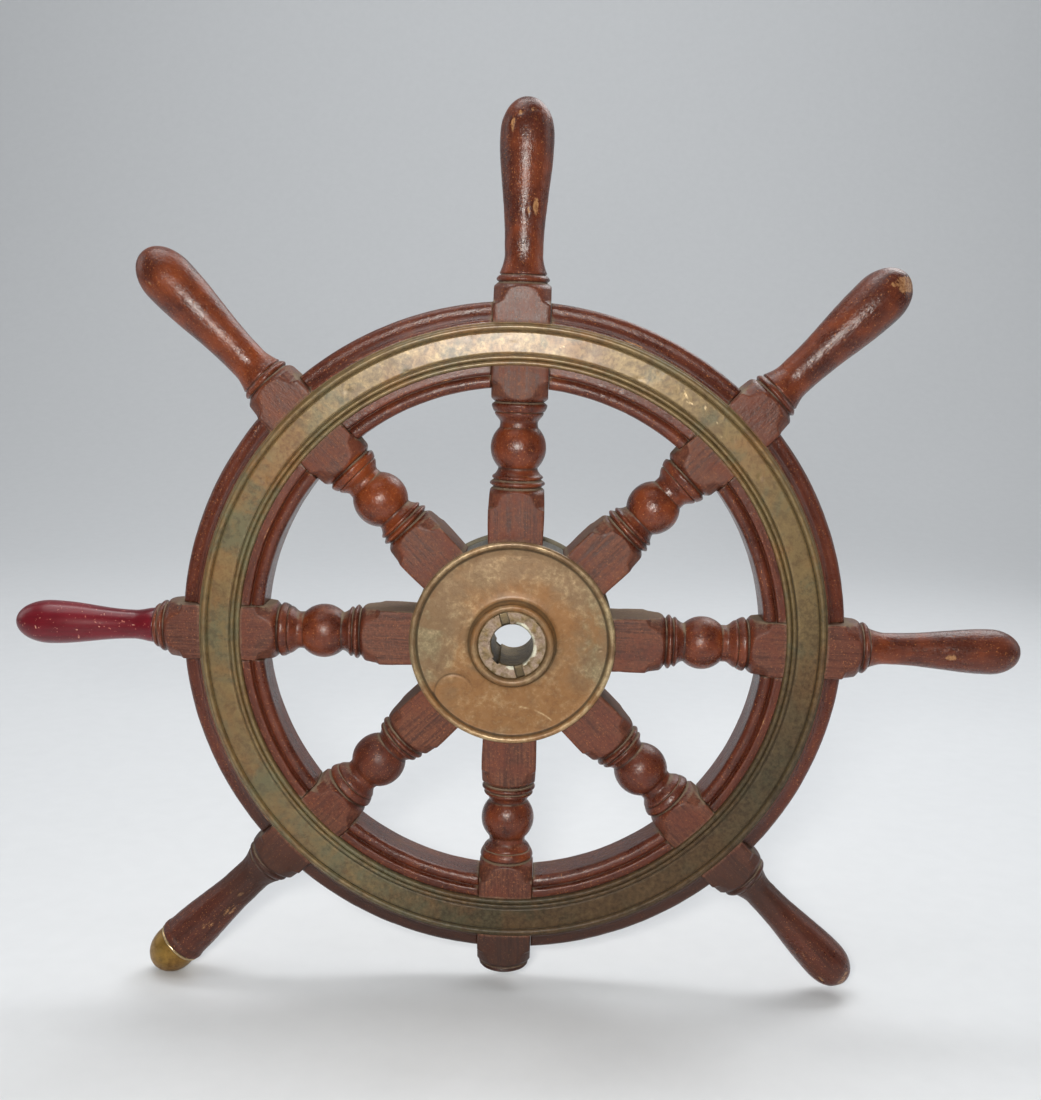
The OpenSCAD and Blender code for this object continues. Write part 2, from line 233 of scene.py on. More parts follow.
def turned(start, radius, cuts, step=0.0005):
    """Outline of a turning, as distances along the axis and radii.

    Each cut is (kind, end, radius). line is straight, swell is half a cosine wave, round rises
    fast and levels off, hollow starts level and ends fast, and bead swells out to the radius by
    half a sine wave and comes back.
    """
    along, radii = [start], [radius]
    for kind, end, size in cuts:
        count = max(2, int(round(abs(end - along[-1]) / step)))
        t = np.linspace(0, 1, count + 1)[1:]
        shape = {
            "line": t, "swell": (1 - np.cos(np.pi * t)) / 2, "round": np.sin(np.pi * t / 2),
            "hollow": 1 - np.cos(np.pi * t / 2), "bead": np.sin(np.pi * t),
        }[kind]
        first, base = along[-1], radii[-1]
        along.extend(first + (end - first) * t)
        radii.extend(base + (size - base) * shape)
    return np.array(along), np.array(radii)


def relief(along, radii, reach):
    """How far each point of an outline stands above its surroundings, in lengths of reach."""
    even = np.arange(along[0], along[-1], 0.0002)
    level = np.interp(even, along, radii)
    span = max(3, int(2 * reach / 0.0002) | 1)
    padded = np.pad(level, span // 2, mode="edge")
    mean = np.convolve(padded, np.ones(span) / span, mode="valid")
    return np.interp(along, even, level - mean) / reach


def path_relief(points, reach):
    """Signed relief of a flat outline: positive on crests, negative in grooves.

    The outline is compared with its own moving average along the left normal of its direction.
    """
    steps = np.linalg.norm(np.diff(points, axis=0), axis=1)
    run = np.concatenate([[0], np.cumsum(steps)])
    even = np.arange(0, run[-1], 0.0001)
    line = np.stack([np.interp(even, run, points[:, i]) for i in (0, 1)], axis=1)
    span = max(3, int(2 * reach / 0.0001) | 1)
    mean = np.stack([
        np.convolve(np.pad(line[:, i], span // 2, mode="edge"), np.ones(span) / span, mode="valid")
        for i in (0, 1)], axis=1)
    tangent = np.gradient(mean, axis=0)
    normal = np.stack([-tangent[:, 1], tangent[:, 0]], axis=1)
    normal /= np.linalg.norm(normal, axis=1, keepdims=True) + 1e-12
    height = np.sum((line - mean) * normal, axis=1) / reach
    return np.interp(run, even, height)


def section_relief(section, reach, overlap):
    """Relief of a closed section, carried past its seam by some points so that the seam doesn't show."""
    closed = np.concatenate([section, section[:1]])
    longer = np.concatenate([closed[-overlap:-1], closed, closed[1:overlap]])
    height = path_relief(longer, reach)[overlap - 1:-overlap]
    return height if height[np.argmax(section[:, 1])] >= 0 else -height


def arc(centre, radius, start, end, count=8):
    """Points round a circle's arc, from start to end in degrees."""
    angle = np.radians(np.linspace(start, end, count + 1))
    return [(centre[0] + radius * math.cos(a), centre[1] + radius * math.sin(a)) for a in angle]


def densify(points, step):
    """The same outline with extra points, none further apart than step."""
    points = np.array(points, float)
    parts = []
    for first, second in zip(points[:-1], points[1:]):
        count = max(1, int(math.ceil(np.linalg.norm(second - first) / step)))
        parts.append(first + (second - first) * np.linspace(0, 1, count, endpoint=False)[:, None])
    return np.concatenate(parts + [points[-1:]])


# Meshes

def grid_normals(points, wrap_columns):
    """Unit normals of a grid of points, from the cross product of its two directions."""
    down = np.gradient(points, axis=0)
    if wrap_columns:
        across = np.roll(points, -1, axis=1) - np.roll(points, 1, axis=1)
    else:
        across = np.gradient(points, axis=1)
    normal = np.cross(across, down)
    return normal / (np.linalg.norm(normal, axis=-1, keepdims=True) + 1e-12)


def grid_faces(rows, columns, wrap_rows=False, wrap_columns=True):
    """Quads of a grid, numbered row by row."""
    row = np.arange(rows if wrap_rows else rows - 1)
    column = np.arange(columns if wrap_columns else columns - 1)
    a, b = np.meshgrid(row, column, indexing="ij")
    c, d = (a + 1) % rows, (b + 1) % columns
    return np.stack([a * columns + b, a * columns + d, c * columns + d, c * columns + b], -1).reshape(-1, 4)


def closed_ends(rows, columns):
    """Triangles from the first and last row of a grid to its two poles, which follow the grid's points."""
    column = np.arange(columns)
    after = (column + 1) % columns
    base = (rows - 1) * columns
    first_pole = rows * columns
    top = np.stack([after, column, np.full(columns, first_pole)], -1)
    bottom = np.stack([base + column, base + after, np.full(columns, first_pole + 1)], -1)
    return np.concatenate([top, bottom])


def build_mesh(name, points, quads, triangles=None, masks=None, grain=None):
    """A mesh from arrays, turned outwards by the sign of its volume, with its masks as attributes."""
    points = np.asarray(points, float).reshape(-1, 3)
    triangles = np.zeros((0, 3), int) if triangles is None else triangles
    fans = np.concatenate([quads[:, [0, 1, 2]], quads[:, [0, 2, 3]], triangles])
    corners = points[fans]
    volume = np.sum(corners[:, 0] * np.cross(corners[:, 1], corners[:, 2]))
    if volume < 0:
        quads, triangles = quads[:, ::-1], triangles[:, ::-1]
    mesh = bpy.data.meshes.new(name)
    mesh.vertices.add(len(points))
    mesh.vertices.foreach_set("co", points.ravel())
    loops = np.concatenate([quads.ravel(), triangles.ravel()])
    mesh.loops.add(len(loops))
    mesh.loops.foreach_set("vertex_index", loops)
    totals = np.concatenate([np.full(len(quads), 4), np.full(len(triangles), 3)])
    mesh.polygons.add(len(totals))
    mesh.polygons.foreach_set("loop_start", np.concatenate([[0], np.cumsum(totals)[:-1]]))
    mesh.polygons.foreach_set("loop_total", totals)
    mesh.update(calc_edges=True)
    mesh.shade_smooth()
    for label, values in (masks or {}).items():
        layer = mesh.attributes.new(label, 'FLOAT', 'POINT')
        layer.data.foreach_set("value", np.asarray(values, float).ravel())
    if grain is not None:
        layer = mesh.attributes.new("grain", 'FLOAT_VECTOR', 'POINT')
        layer.data.foreach_set("vector", np.asarray(grain, float).ravel())
    if mesh.validate():
        raise RuntimeError(f"{name} has broken faces")
    return mesh


def place(name, mesh, material, nodes):
    """Put a finished mesh in the scene in place of the CAD nodes that it stands for."""
    mesh.materials.append(material)
    piece = bpy.data.objects.new(name, mesh)
    bpy.context.scene.collection.objects.link(piece)
    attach(piece, "root")
    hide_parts(*nodes)


def spoke_turn(k):
    """Rotation from a spoke's own frame to the wheel: its axis leans k - 1 pitches from upright."""
    a = PITCH * (k - 1)
    return np.array([[math.cos(a), 0, math.sin(a)], [0, 1, 0], [-math.sin(a), 0, math.cos(a)]])


def with_poles(grid, first, last):
    """Grid points in a list, with two pole points added at its end."""
    return np.concatenate([grid.reshape(-1, 3), [first], [last]])


def pole_mask(mask):
    """A grid's mask in a list, with the two poles taking their rows' means."""
    return np.concatenate([mask.ravel(), [mask[0].mean(), mask[-1].mean()]])


def closed_mesh(name, points, shape, masks, grain=None):
    """A mesh from a grid of rings, given by its shape, and the two poles that close its ends."""
    rows, columns = shape[:2]
    return build_mesh(name, points, grid_faces(rows, columns), closed_ends(rows, columns),
                      {label: pole_mask(mask) for label, mask in masks.items()}, grain)


def revolve(along, radii, columns, height=0.0):
    """Points of a surface of revolution about Z, its radius raised by a height at each point."""
    angle = np.linspace(0, 2 * np.pi, columns, endpoint=False)
    radius = np.broadcast_to(radii[:, None], (len(radii), columns)) + height
    return np.stack([radius * np.cos(angle), radius * np.sin(angle),
                     np.broadcast_to(along[:, None], radius.shape)], -1)


# Shader building

class Signal:
    """One number from a shader node. Arithmetic on it adds Math nodes."""

    def __init__(self, finish, socket):
        self.finish, self.socket = finish, socket

    def _math(self, operation, first, second):
        return self.finish.node("ShaderNodeMath", {"operation": operation}, {0: first, 1: second})

    def __add__(self, other):
        return self._math("ADD", self, other)

    def __radd__(self, other):
        return self._math("ADD", other, self)

    def __sub__(self, other):
        return self._math("SUBTRACT", self, other)

    def __rsub__(self, other):
        return self._math("SUBTRACT", other, self)

    def __mul__(self, other):
        return self._math("MULTIPLY", self, other)

    def __rmul__(self, other):
        return self._math("MULTIPLY", other, self)

    def most(self, other):
        """The larger of two numbers."""
        return self._math("MAXIMUM", self, other)

    def least(self, other):
        """The smaller of two numbers."""
        return self._math("MINIMUM", self, other)


class Finish:
    """A procedural material and the nodes that make it."""

    def __init__(self, name, **constants):
        self.material = bpy.data.materials.new(name)
        self.material.use_nodes = True
        self.tree = self.material.node_tree
        self.tree.nodes.clear()
        self.output = self.tree.nodes.new("ShaderNodeOutputMaterial")
        self.shader = self.tree.nodes.new("ShaderNodeBsdfPrincipled")
        self.tree.links.new(self.shader.outputs[0], self.output.inputs[0])
        for socket, value in constants.items():
            self.shader.inputs[socket.replace("_", " ").title().replace("Ior", "IOR")].default_value = value

    def _feed(self, socket, value):
        if isinstance(value, Signal):
            self.tree.links.new(value.socket, socket)
        elif isinstance(value, (tuple, list)) and socket.type == 'RGBA' and len(value) == 3:
            socket.default_value = (*value, 1.0)
        else:
            socket.default_value = value

    def node(self, kind, settings=None, inputs=None, output=0):
        """Add a node: its settings first, then its inputs, and give back one of its outputs."""
        node = self.tree.nodes.new(kind)
        for key, value in (settings or {}).items():
            setattr(node, key, value)
        for key, value in (inputs or {}).items():
            self._feed(node.inputs[key], value)
        return Signal(self, node.outputs[output])

    def mask(self, label):
        """A number stored on the mesh."""
        return self.node("ShaderNodeAttribute", {"attribute_name": label}, output="Fac")

    def grain(self):
        """The piece's own place, with the wood's grain along Z."""
        return self.node("ShaderNodeAttribute", {"attribute_name": "grain"}, output="Vector")

    def place(self):
        """The object's own coordinates."""
        return self.node("ShaderNodeTexCoord", output="Object")

    def stretched(self, vector, scale, shift=(0.0, 0.0, 0.0)):
        """A vector with each part scaled and shifted."""
        return self.node("ShaderNodeMapping", inputs={"Vector": vector, "Scale": scale, "Location": shift})

    def noise(self, vector, scale, detail=3.0, rough=0.55, twist=0.0):
        """Soft noise from 0 to 1."""
        return self.node("ShaderNodeTexNoise", inputs={
            "Vector": vector, "Scale": scale, "Detail": detail, "Roughness": rough, "Distortion": twist})

    def between(self, value, start, end):
        """0 at start, 1 at end, with a smooth S between."""
        return self.node("ShaderNodeMapRange", {"interpolation_type": 'SMOOTHSTEP'},
                         {"Value": value, "From Min": start, "From Max": end})

    def blend(self, amount, first, second):
        """Mix two colours."""
        return self.node("ShaderNodeMix", {"data_type": 'RGBA'},
                         {0: amount, 6: first, 7: second}, output=2)

    def tint(self, amount, first, second):
        """Multiply one colour by another."""
        return self.node("ShaderNodeMix", {"data_type": 'RGBA', "blend_type": 'MULTIPLY'},
                         {0: amount, 6: first, 7: second}, output=2)

    def bumps(self, height, distance, strength=1.0):
        """Send a height to the shader's normal."""
        normal = self.node("ShaderNodeBump", inputs={
            "Height": height, "Distance": distance, "Strength": strength})
        self.tree.links.new(normal.socket, self.shader.inputs["Normal"])

    def surface(self, **signals):
        """Feed the shader's sockets with colours and numbers that vary."""
        for socket, value in signals.items():
            self._feed(self.shader.inputs[socket.replace("_", " ").title()], value)
        return self.material


def shade(name):
    """One of the user's colours as a plain tuple."""
    return tuple(getattr(bpy.context.scene.wheel_colours, name))


# fixed colours of the finishes
STREAK_TINT = (0.36, 0.30, 0.29)     # dark streaks on sawn faces
BLOTCH_TINT = (0.52, 0.44, 0.42)     # soft dark blotches on sawn faces
PORE_TINT = (0.30, 0.24, 0.22)
MATT_RED = (0.120, 0.030, 0.016)     # redder patches on sawn faces
FLECK = (0.46, 0.17, 0.055)          # specks of wood through the varnish
RUBBED_EDGE = (0.25, 0.115, 0.066)
BARE_SHADED = (0.20, 0.085, 0.036)   # the darker part of a chip
# the next two colours darken grooves, seats, joints and the wheel's lower side: painted shade, with some
# grime
WOOD_SHADE_AND_GRIME = (0.022, 0.012, 0.008)
BRASS_SHADE_AND_GRIME = (0.024, 0.017, 0.009)
BRASS_DUST = (0.120, 0.115, 0.085)
MOTTLE_TINT = (0.50, 0.42, 0.36)     # small dark stains on brass
PLATE_GREEN = (0.115, 0.098, 0.048)
CAP_BRASS = (0.30, 0.17, 0.035)
CAP_GREEN = (0.16, 0.13, 0.04)
DOWEL_WOOD = (0.42, 0.29, 0.17)
NAVE_WOOD = (0.15, 0.145, 0.125)


def wood_finish(name, gloss=1.0, warm=0.5):
    """Old mahogany: fine grain, pores, sawn faces, rubbed varnish, chips and settled dust."""
    f = Finish(name, ior=1.48, coat_roughness=0.25, specular_ior_level=0.38)
    grain = f.grain()
    squared, groove, crest = f.mask("squared"), f.mask("groove"), f.mask("crest")
    bare, dust, tone = f.mask("bare"), f.mask("dust"), f.mask("tone")
    streaks = f.noise(f.stretched(grain, (620, 620, 16)), 1.0, 4.0, 0.6, 0.3)
    figure = f.noise(f.stretched(grain, (110, 110, 5)), 1.0, 3.0, 0.5, 0.8)
    patches = f.noise(grain, 60.0, 3.0, 0.55)
    broad = f.noise(grain, 22.0, 2.0, 0.5)
    pores = f.noise(f.stretched(grain, (2300, 2300, 130)), 1.0, 2.0, 0.5)
    speck = f.noise(grain, 520.0, 3.0, 0.65)
    peel = f.noise(f.stretched(grain, (1, 1, 0.6)), 420.0, 3.0, 0.62)
    motes = f.noise(grain, 1100.0, 1.0, 0.4)
    warmth = f.between(patches + (tone - 0.5) * 0.8 + (broad - 0.5) * 0.5,
                       0.50 - 0.1 * warm, 1.02 - 0.1 * warm)
    body = f.blend(f.between(figure * 0.4 + streaks * 0.3 + patches * 0.3, 0.28, 0.64),
                   shade("wood_dark"), shade("wood_mid"))
    rubbed = f.blend(warmth * (1.0 - squared * 0.6), body, shade("wood_warm"))
    matt = f.tint(f.between(streaks * 0.6 + figure * 0.2 + speck * 0.2, 0.57, 0.40) * 0.85,
                  shade("wood_matt"), STREAK_TINT)
    reddened = f.blend(f.between(patches + (broad - 0.5), 0.38, 0.70) * 0.65, matt, MATT_RED)
    blotched = f.tint(f.between(patches * 0.4 + speck * 0.6, 0.56, 0.42) * 0.45, reddened, BLOTCH_TINT)
    faded = f.blend(squared * 0.85, rubbed, blotched)
    pored = f.tint(f.between(pores, 0.60, 0.70) * 0.6, faded, PORE_TINT)
    flecks = f.between(motes + (speck - 0.5) * 0.3, 0.665, 0.72) * 0.55 * (1.0 - squared * 0.5)
    flecked = f.blend(flecks, pored, FLECK)
    edges = f.between(crest + (speck - 0.5) * 1.3, 0.5, 1.2) * (0.5 + squared * 0.4)
    worn = f.blend(edges, flecked, RUBBED_EDGE)
    fresh = f.blend(f.between(speck, 0.35, 0.6), BARE_SHADED, shade("bare_wood"))
    chipped = f.blend(f.between(bare + (streaks - 0.5) * 0.8 + (speck - 0.5) * 0.8, 0.42, 0.72), worn, fresh)
    # grooves, joints and the wheel's lower side darken here: painted shade, with some grime
    shade_grime_level = f.between(groove + (patches - 0.5) * 0.5, 0.25, 0.9)
    darkened = f.blend(shade_grime_level * 0.7, chipped, WOOD_SHADE_AND_GRIME)
    settled = f.between(dust + squared * 0.10 + (speck - 0.5) * 0.9 + (patches - 0.5) * 0.7, 0.35, 1.05)
    colour = f.blend(settled * 0.85, darkened, shade("dust"))
    rough = (0.31 + squared * 0.30 + 0.18 * (1.0 - gloss) + (speck - 0.5) * 0.35 + (patches - 0.5) * 0.3
             + settled * 0.35 + shade_grime_level * 0.12 + (streaks - 0.5) * squared * 0.6)
    saw_marks = f.noise(f.stretched(grain, (60, 60, 1100)), 1.0, 2.0, 0.5)
    height = streaks * 0.14 + pores * -0.12 + speck * 0.26 + peel * 0.55 + squared * saw_marks * 0.12
    f.bumps(height, 0.0007, 0.9)
    varnish = (0.08 * gloss) * (1.0 - squared * 0.85) * (1.0 - settled) * (1.0 - bare.least(1.0))
    return f.surface(base_color=colour, roughness=rough.most(0.22).least(0.95), coat_weight=varnish)


def brass_finish(name, base, tarnish, green, metal=0.6, polish=0.0, coat=0.3, mottle=1.0):
    """Old brass: tarnish where the mesh asks for it and in patches, painted shade with some grime in grooves
    and where the mesh asks, bright rubbed edges.
    """
    f = Finish(name, coat_roughness=0.33, coat_ior=1.5, specular_ior_level=0.25)
    where = f.place()
    groove, crest, dust = f.mask("groove"), f.mask("crest"), f.mask("dust")
    clouds = f.noise(where, 30.0, 5.0, 0.62, 0.5)
    other = f.noise(f.stretched(where, (1, 1, 1), (3.1, 1.7, 5.3)), 46.0, 5.0, 0.66, 0.5)
    blots = f.noise(f.stretched(where, (1, 1, 1), (7.3, 2.9, 1.1)), 130.0, 4.0, 0.65, 0.8)
    speck = f.noise(where, 320.0, 4.0, 0.7)
    fine = f.noise(where, 1000.0, 2.0, 0.6)
    brown = f.between(f.mask("brown") + (clouds - 0.5) * 2.5 + (speck - 0.5) * 0.4, 0.20, 0.85)
    first = f.blend(brown * 0.85, base, tarnish)
    greens = f.between(f.mask("green") + (other - 0.5) * 2.7 + (speck - 0.5) * 0.45, 0.35, 0.95)
    second = f.blend(greens * 0.75, first, green)
    mottled = f.tint(f.between(blots * 0.5 + speck * 0.35 + fine * 0.15, 0.46, 0.60) * (0.62 * mottle),
                     second, MOTTLE_TINT)
    pale = f.between(blots * 0.4 + other * 0.3 + speck * 0.3, 0.47, 0.36)
    lifted = f.blend(pale * (0.42 * mottle), mottled, tuple(c * 1.45 for c in base))
    rubbed = f.between(crest + (speck - 0.5) * 0.9 + (other - 0.5) * 0.9, 0.35 - polish, 1.15 - polish)
    bright = f.blend(rubbed * 0.85, lifted, shade("brass_bright"))
    # grooves and the places the mesh marks go dark and dull: painted shade, with some grime
    deep = f.between(groove + (speck - 0.5) * 0.4, 0.2, 0.9)
    darkened = f.blend(deep * 0.88, bright, BRASS_SHADE_AND_GRIME)
    settled = f.between(dust + (speck - 0.5) * 0.7 + (clouds - 0.5) * 0.6, 0.4, 1.0)
    colour = f.blend(settled * 0.88, darkened, BRASS_DUST)
    metallic = (metal - brown * 0.15 - greens * 0.25 + rubbed * 0.35 - deep * 0.4 - settled * 0.45).most(0.05)
    rough = (0.45 + brown * 0.08 + greens * 0.12 + (speck - 0.5) * 0.45 + (blots - 0.5) * 0.35 - rubbed * 0.2
             + deep * 0.2 + settled * 0.3)
    f.bumps(speck * 0.5 + fine * 0.2 + blots * 0.5, 0.0005, 0.6)
    return f.surface(base_color=colour, metallic=metallic.least(1.0), roughness=rough.most(0.2).least(0.95),
                     coat_weight=(coat - deep * 0.6 - settled * 0.3).most(0.0))


# Spokes

def grip_cuts(outer_end, start, neck, thick, tip):
    """Cuts of a ridge, the hollow that leads to a handle's neck, and its long swelling."""
    return [
        ("hollow", outer_end + 0.0047, STOCK_HALF - 0.0030), ("line", outer_end + 0.0050, neck + 0.0018),
        ("round", outer_end + 0.0062, neck + 0.0028), ("line", outer_end + 0.0074, neck + 0.0022),
        ("round", start + 0.0090, neck), ("line", start + 0.014, neck + 0.0001),
        ("swell", tip - thick * 1.37, thick)]


def ogee_down(end, shoulder, neck):
    """Cuts of a block's ogee shoulder: a hollow from the square's corners, then a quick round."""
    return [
        ("line", end - shoulder - 0.001, STOCK_HALF * 1.5), ("line", end - shoulder, STOCK_HALF * 1.42),
        ("round", end - shoulder * 0.68, STOCK_HALF * 1.19),
        ("line", end - shoulder * 0.34, STOCK_HALF * 1.115), ("hollow", end - 0.0003, neck),
    ]


def ogee_up(start, shoulder):
    """The same shoulder going up to the square."""
    return [
        ("round", start + shoulder * 0.34, STOCK_HALF * 1.115),
        ("line", start + shoulder * 0.68, STOCK_HALF * 1.19),
        ("hollow", start + shoulder, STOCK_HALF * 1.42), ("line", start + shoulder + 0.001, STOCK_HALF * 1.5),
    ]


def spoke_outline(sizes, kind, jitter):
    """Turned outline of a spoke from its hub block outwards, and where its inner and outer blocks end.

    jitter shifts and swells it slightly.
    """
    half = STOCK_HALF
    ball_r = min(sizes.ball_r + 0.0004 * jitter[0], half - 0.0001)
    ball = RIM_IN - sizes.ball_set + 0.0006 * jitter[1]
    ball_half = math.sqrt(ball_r ** 2 - sizes.neck_r ** 2)
    inner_end = ball - ball_half - 0.0129
    outer_start = RIM_IN - sizes.block_in + 0.0003 * jitter[2]
    outer_end = RIM_OUT + sizes.block_out
    tilt = np.radians(np.linspace(-math.degrees(math.asin(ball_half / ball_r)), 46, 40))
    ball_along, ball_radii = ball + ball_r * np.sin(tilt), ball_r * np.cos(tilt)
    first = turned(NAVE_R - 0.008, half * 1.5, ogee_down(inner_end, sizes.shoulder, half - 0.0016) + [
        ("line", inner_end + 0.0004, half - 0.0026), ("line", inner_end + 0.0008, half - 0.0026),
        ("bead", inner_end + 0.0050, half - 0.0002), ("line", inner_end + 0.0054, half - 0.0030),
        ("bead", inner_end + 0.0084, half - 0.0016), ("line", inner_end + 0.0087, half - 0.0034),
        ("round", ball_along[0], sizes.neck_r)])
    neck_end = ball_along[-1] + 0.0030
    last = turned(ball_along[-1], ball_radii[-1], [
        ("round", neck_end, sizes.neck_r - 0.0006),
        ("swell", outer_start - 0.0074, half - 0.0024), ("line", outer_start - 0.0070, half - 0.0030),
        ("line", outer_start - 0.0066, half - 0.0018), ("round", outer_start - 0.0026, half - 0.0003),
        ("hollow", outer_start - 0.0011, half - 0.0020), ("line", outer_start - 0.0004, half - 0.0026),
        ("line", outer_start, half - 0.0016)] + ogee_up(outer_start, sizes.shoulder)
        + ogee_down(outer_end, sizes.shoulder, half - 0.0016) + [
        ("line", outer_end + 0.0006, half - 0.0028), ("round", outer_end + 0.0022, half - 0.0012)])
    along = np.concatenate([first[0], ball_along[1:], last[0][1:]])
    radii = np.concatenate([first[1], ball_radii[1:], last[1][1:]])
    start = outer_end + sizes.collar
    blunt = None
    if kind == "stub":
        tail = [("hollow", outer_end + 0.0052, half - 0.0052), ("line", outer_end + 0.0064, half - 0.0075)]
    elif kind == "mended":
        tail = [("hollow", outer_end + 0.0047, half - 0.0030), ("line", outer_end + 0.0050, half - 0.0046),
                ("bead", COLLAR_END - 0.0003, half - 0.0036), ("line", COLLAR_END, half - 0.0062)]
    elif kind == "capped":
        base, neck, cap_r = cap_base(sizes), sizes.grip_neck_r, sizes.cap_r
        tail = grip_cuts(outer_end, start, neck, cap_r, base)[:-2]
        tail += [("line", start + 0.020, neck + 0.0002), ("swell", base - 0.0062, cap_r + 0.0003),
                 ("swell", base - 0.0022, cap_r + 0.0011), ("line", base - 0.0010, cap_r + 0.0010),
                 ("hollow", base - 0.0001, cap_r + 0.0003), ("line", base, cap_r - 0.0012)]
    else:
        slim = kind == "slim"
        neck, thick = (sizes.slim_neck_r, sizes.slim_r) if slim else (sizes.grip_neck_r, sizes.grip_r)
        blunt = SLIM_TIP if slim else TIP
        tail = grip_cuts(outer_end, start, neck, thick, blunt)
    more = turned(along[-1], radii[-1], tail)
    along, radii = np.concatenate([along, more[0][1:]]), np.concatenate([radii, more[1][1:]])
    if blunt:
        along, radii = rounded_end(along, radii, blunt)
    return along, radii, inner_end, outer_end


def rounded_end(along, radii, tip, fullness=0.96):
    """The outline carried on to the axis at the tip by a quarter ellipse, made slightly full."""
    bend = np.linspace(0, np.pi / 2, 46)[1:-1]
    more = along[-1] + (tip - along[-1]) * np.sin(bend)
    return np.concatenate([along, more]), np.concatenate([radii, radii[-1] * np.cos(bend) ** fullness])


def cap_base(sizes):
    """Where the brass cap begins along its spoke."""
    return RIM_OUT + sizes.block_out + sizes.collar + sizes.capped_len - sizes.cap_len


# chips and worn spots of each spoke: distance along, angle from the front, length, width, slant, depth
MARKS = {
    1: [(0.3195, -33, 0.0085, 0.0020, 0.3, 1.0), (0.3265, -18, 0.0028, 0.0014, 0.0, 1.0),
        (0.2730, 30, 0.0100, 0.0022, -1.0, 1.0), (0.2700, 10, 0.0075, 0.0012, -1.4, 0.8),
        (0.2480, -6, 0.0070, 0.0042, 0.0, 0.45), (0.3290, 15, 0.0030, 0.0040, 0.0, 0.6)],
    2: [(0.3310, 12, 0.0120, 0.0085, 0.5, 1.0), (0.3360, 60, 0.0080, 0.0100, 0.3, 0.9),
        (0.3250, -12, 0.0030, 0.0020, 0.4, 0.8)],
    3: [(0.2840, 9, 0.0080, 0.0028, -0.6, 0.9), (0.3240, 18, 0.0060, 0.0060, 0.0, 0.45)],
    4: [(0.3280, 10, 0.0060, 0.0110, 0.4, 0.7), (0.3160, 40, 0.0060, 0.0014, 0.3, 0.8),
        (0.3250, -30, 0.0035, 0.0030, 0.0, 0.7), (0.2950, 25, 0.0100, 0.0010, 0.1, 0.5)],
    6: [(0.2700, -28, 0.0120, 0.0050, 0.5, 0.6), (0.2560, -12, 0.0050, 0.0013, 1.2, 0.9),
        (0.2880, -10, 0.0100, 0.0060, 0.8, 0.5)],
    8: [(0.3180, -30, 0.0040, 0.0012, 0.2, 0.6)],
}
TONES = {1: 0.50, 2: 0.52, 3: 0.42, 4: 0.25, 5: 0.50, 6: 0.36, 7: 0.45, 8: 0.72}


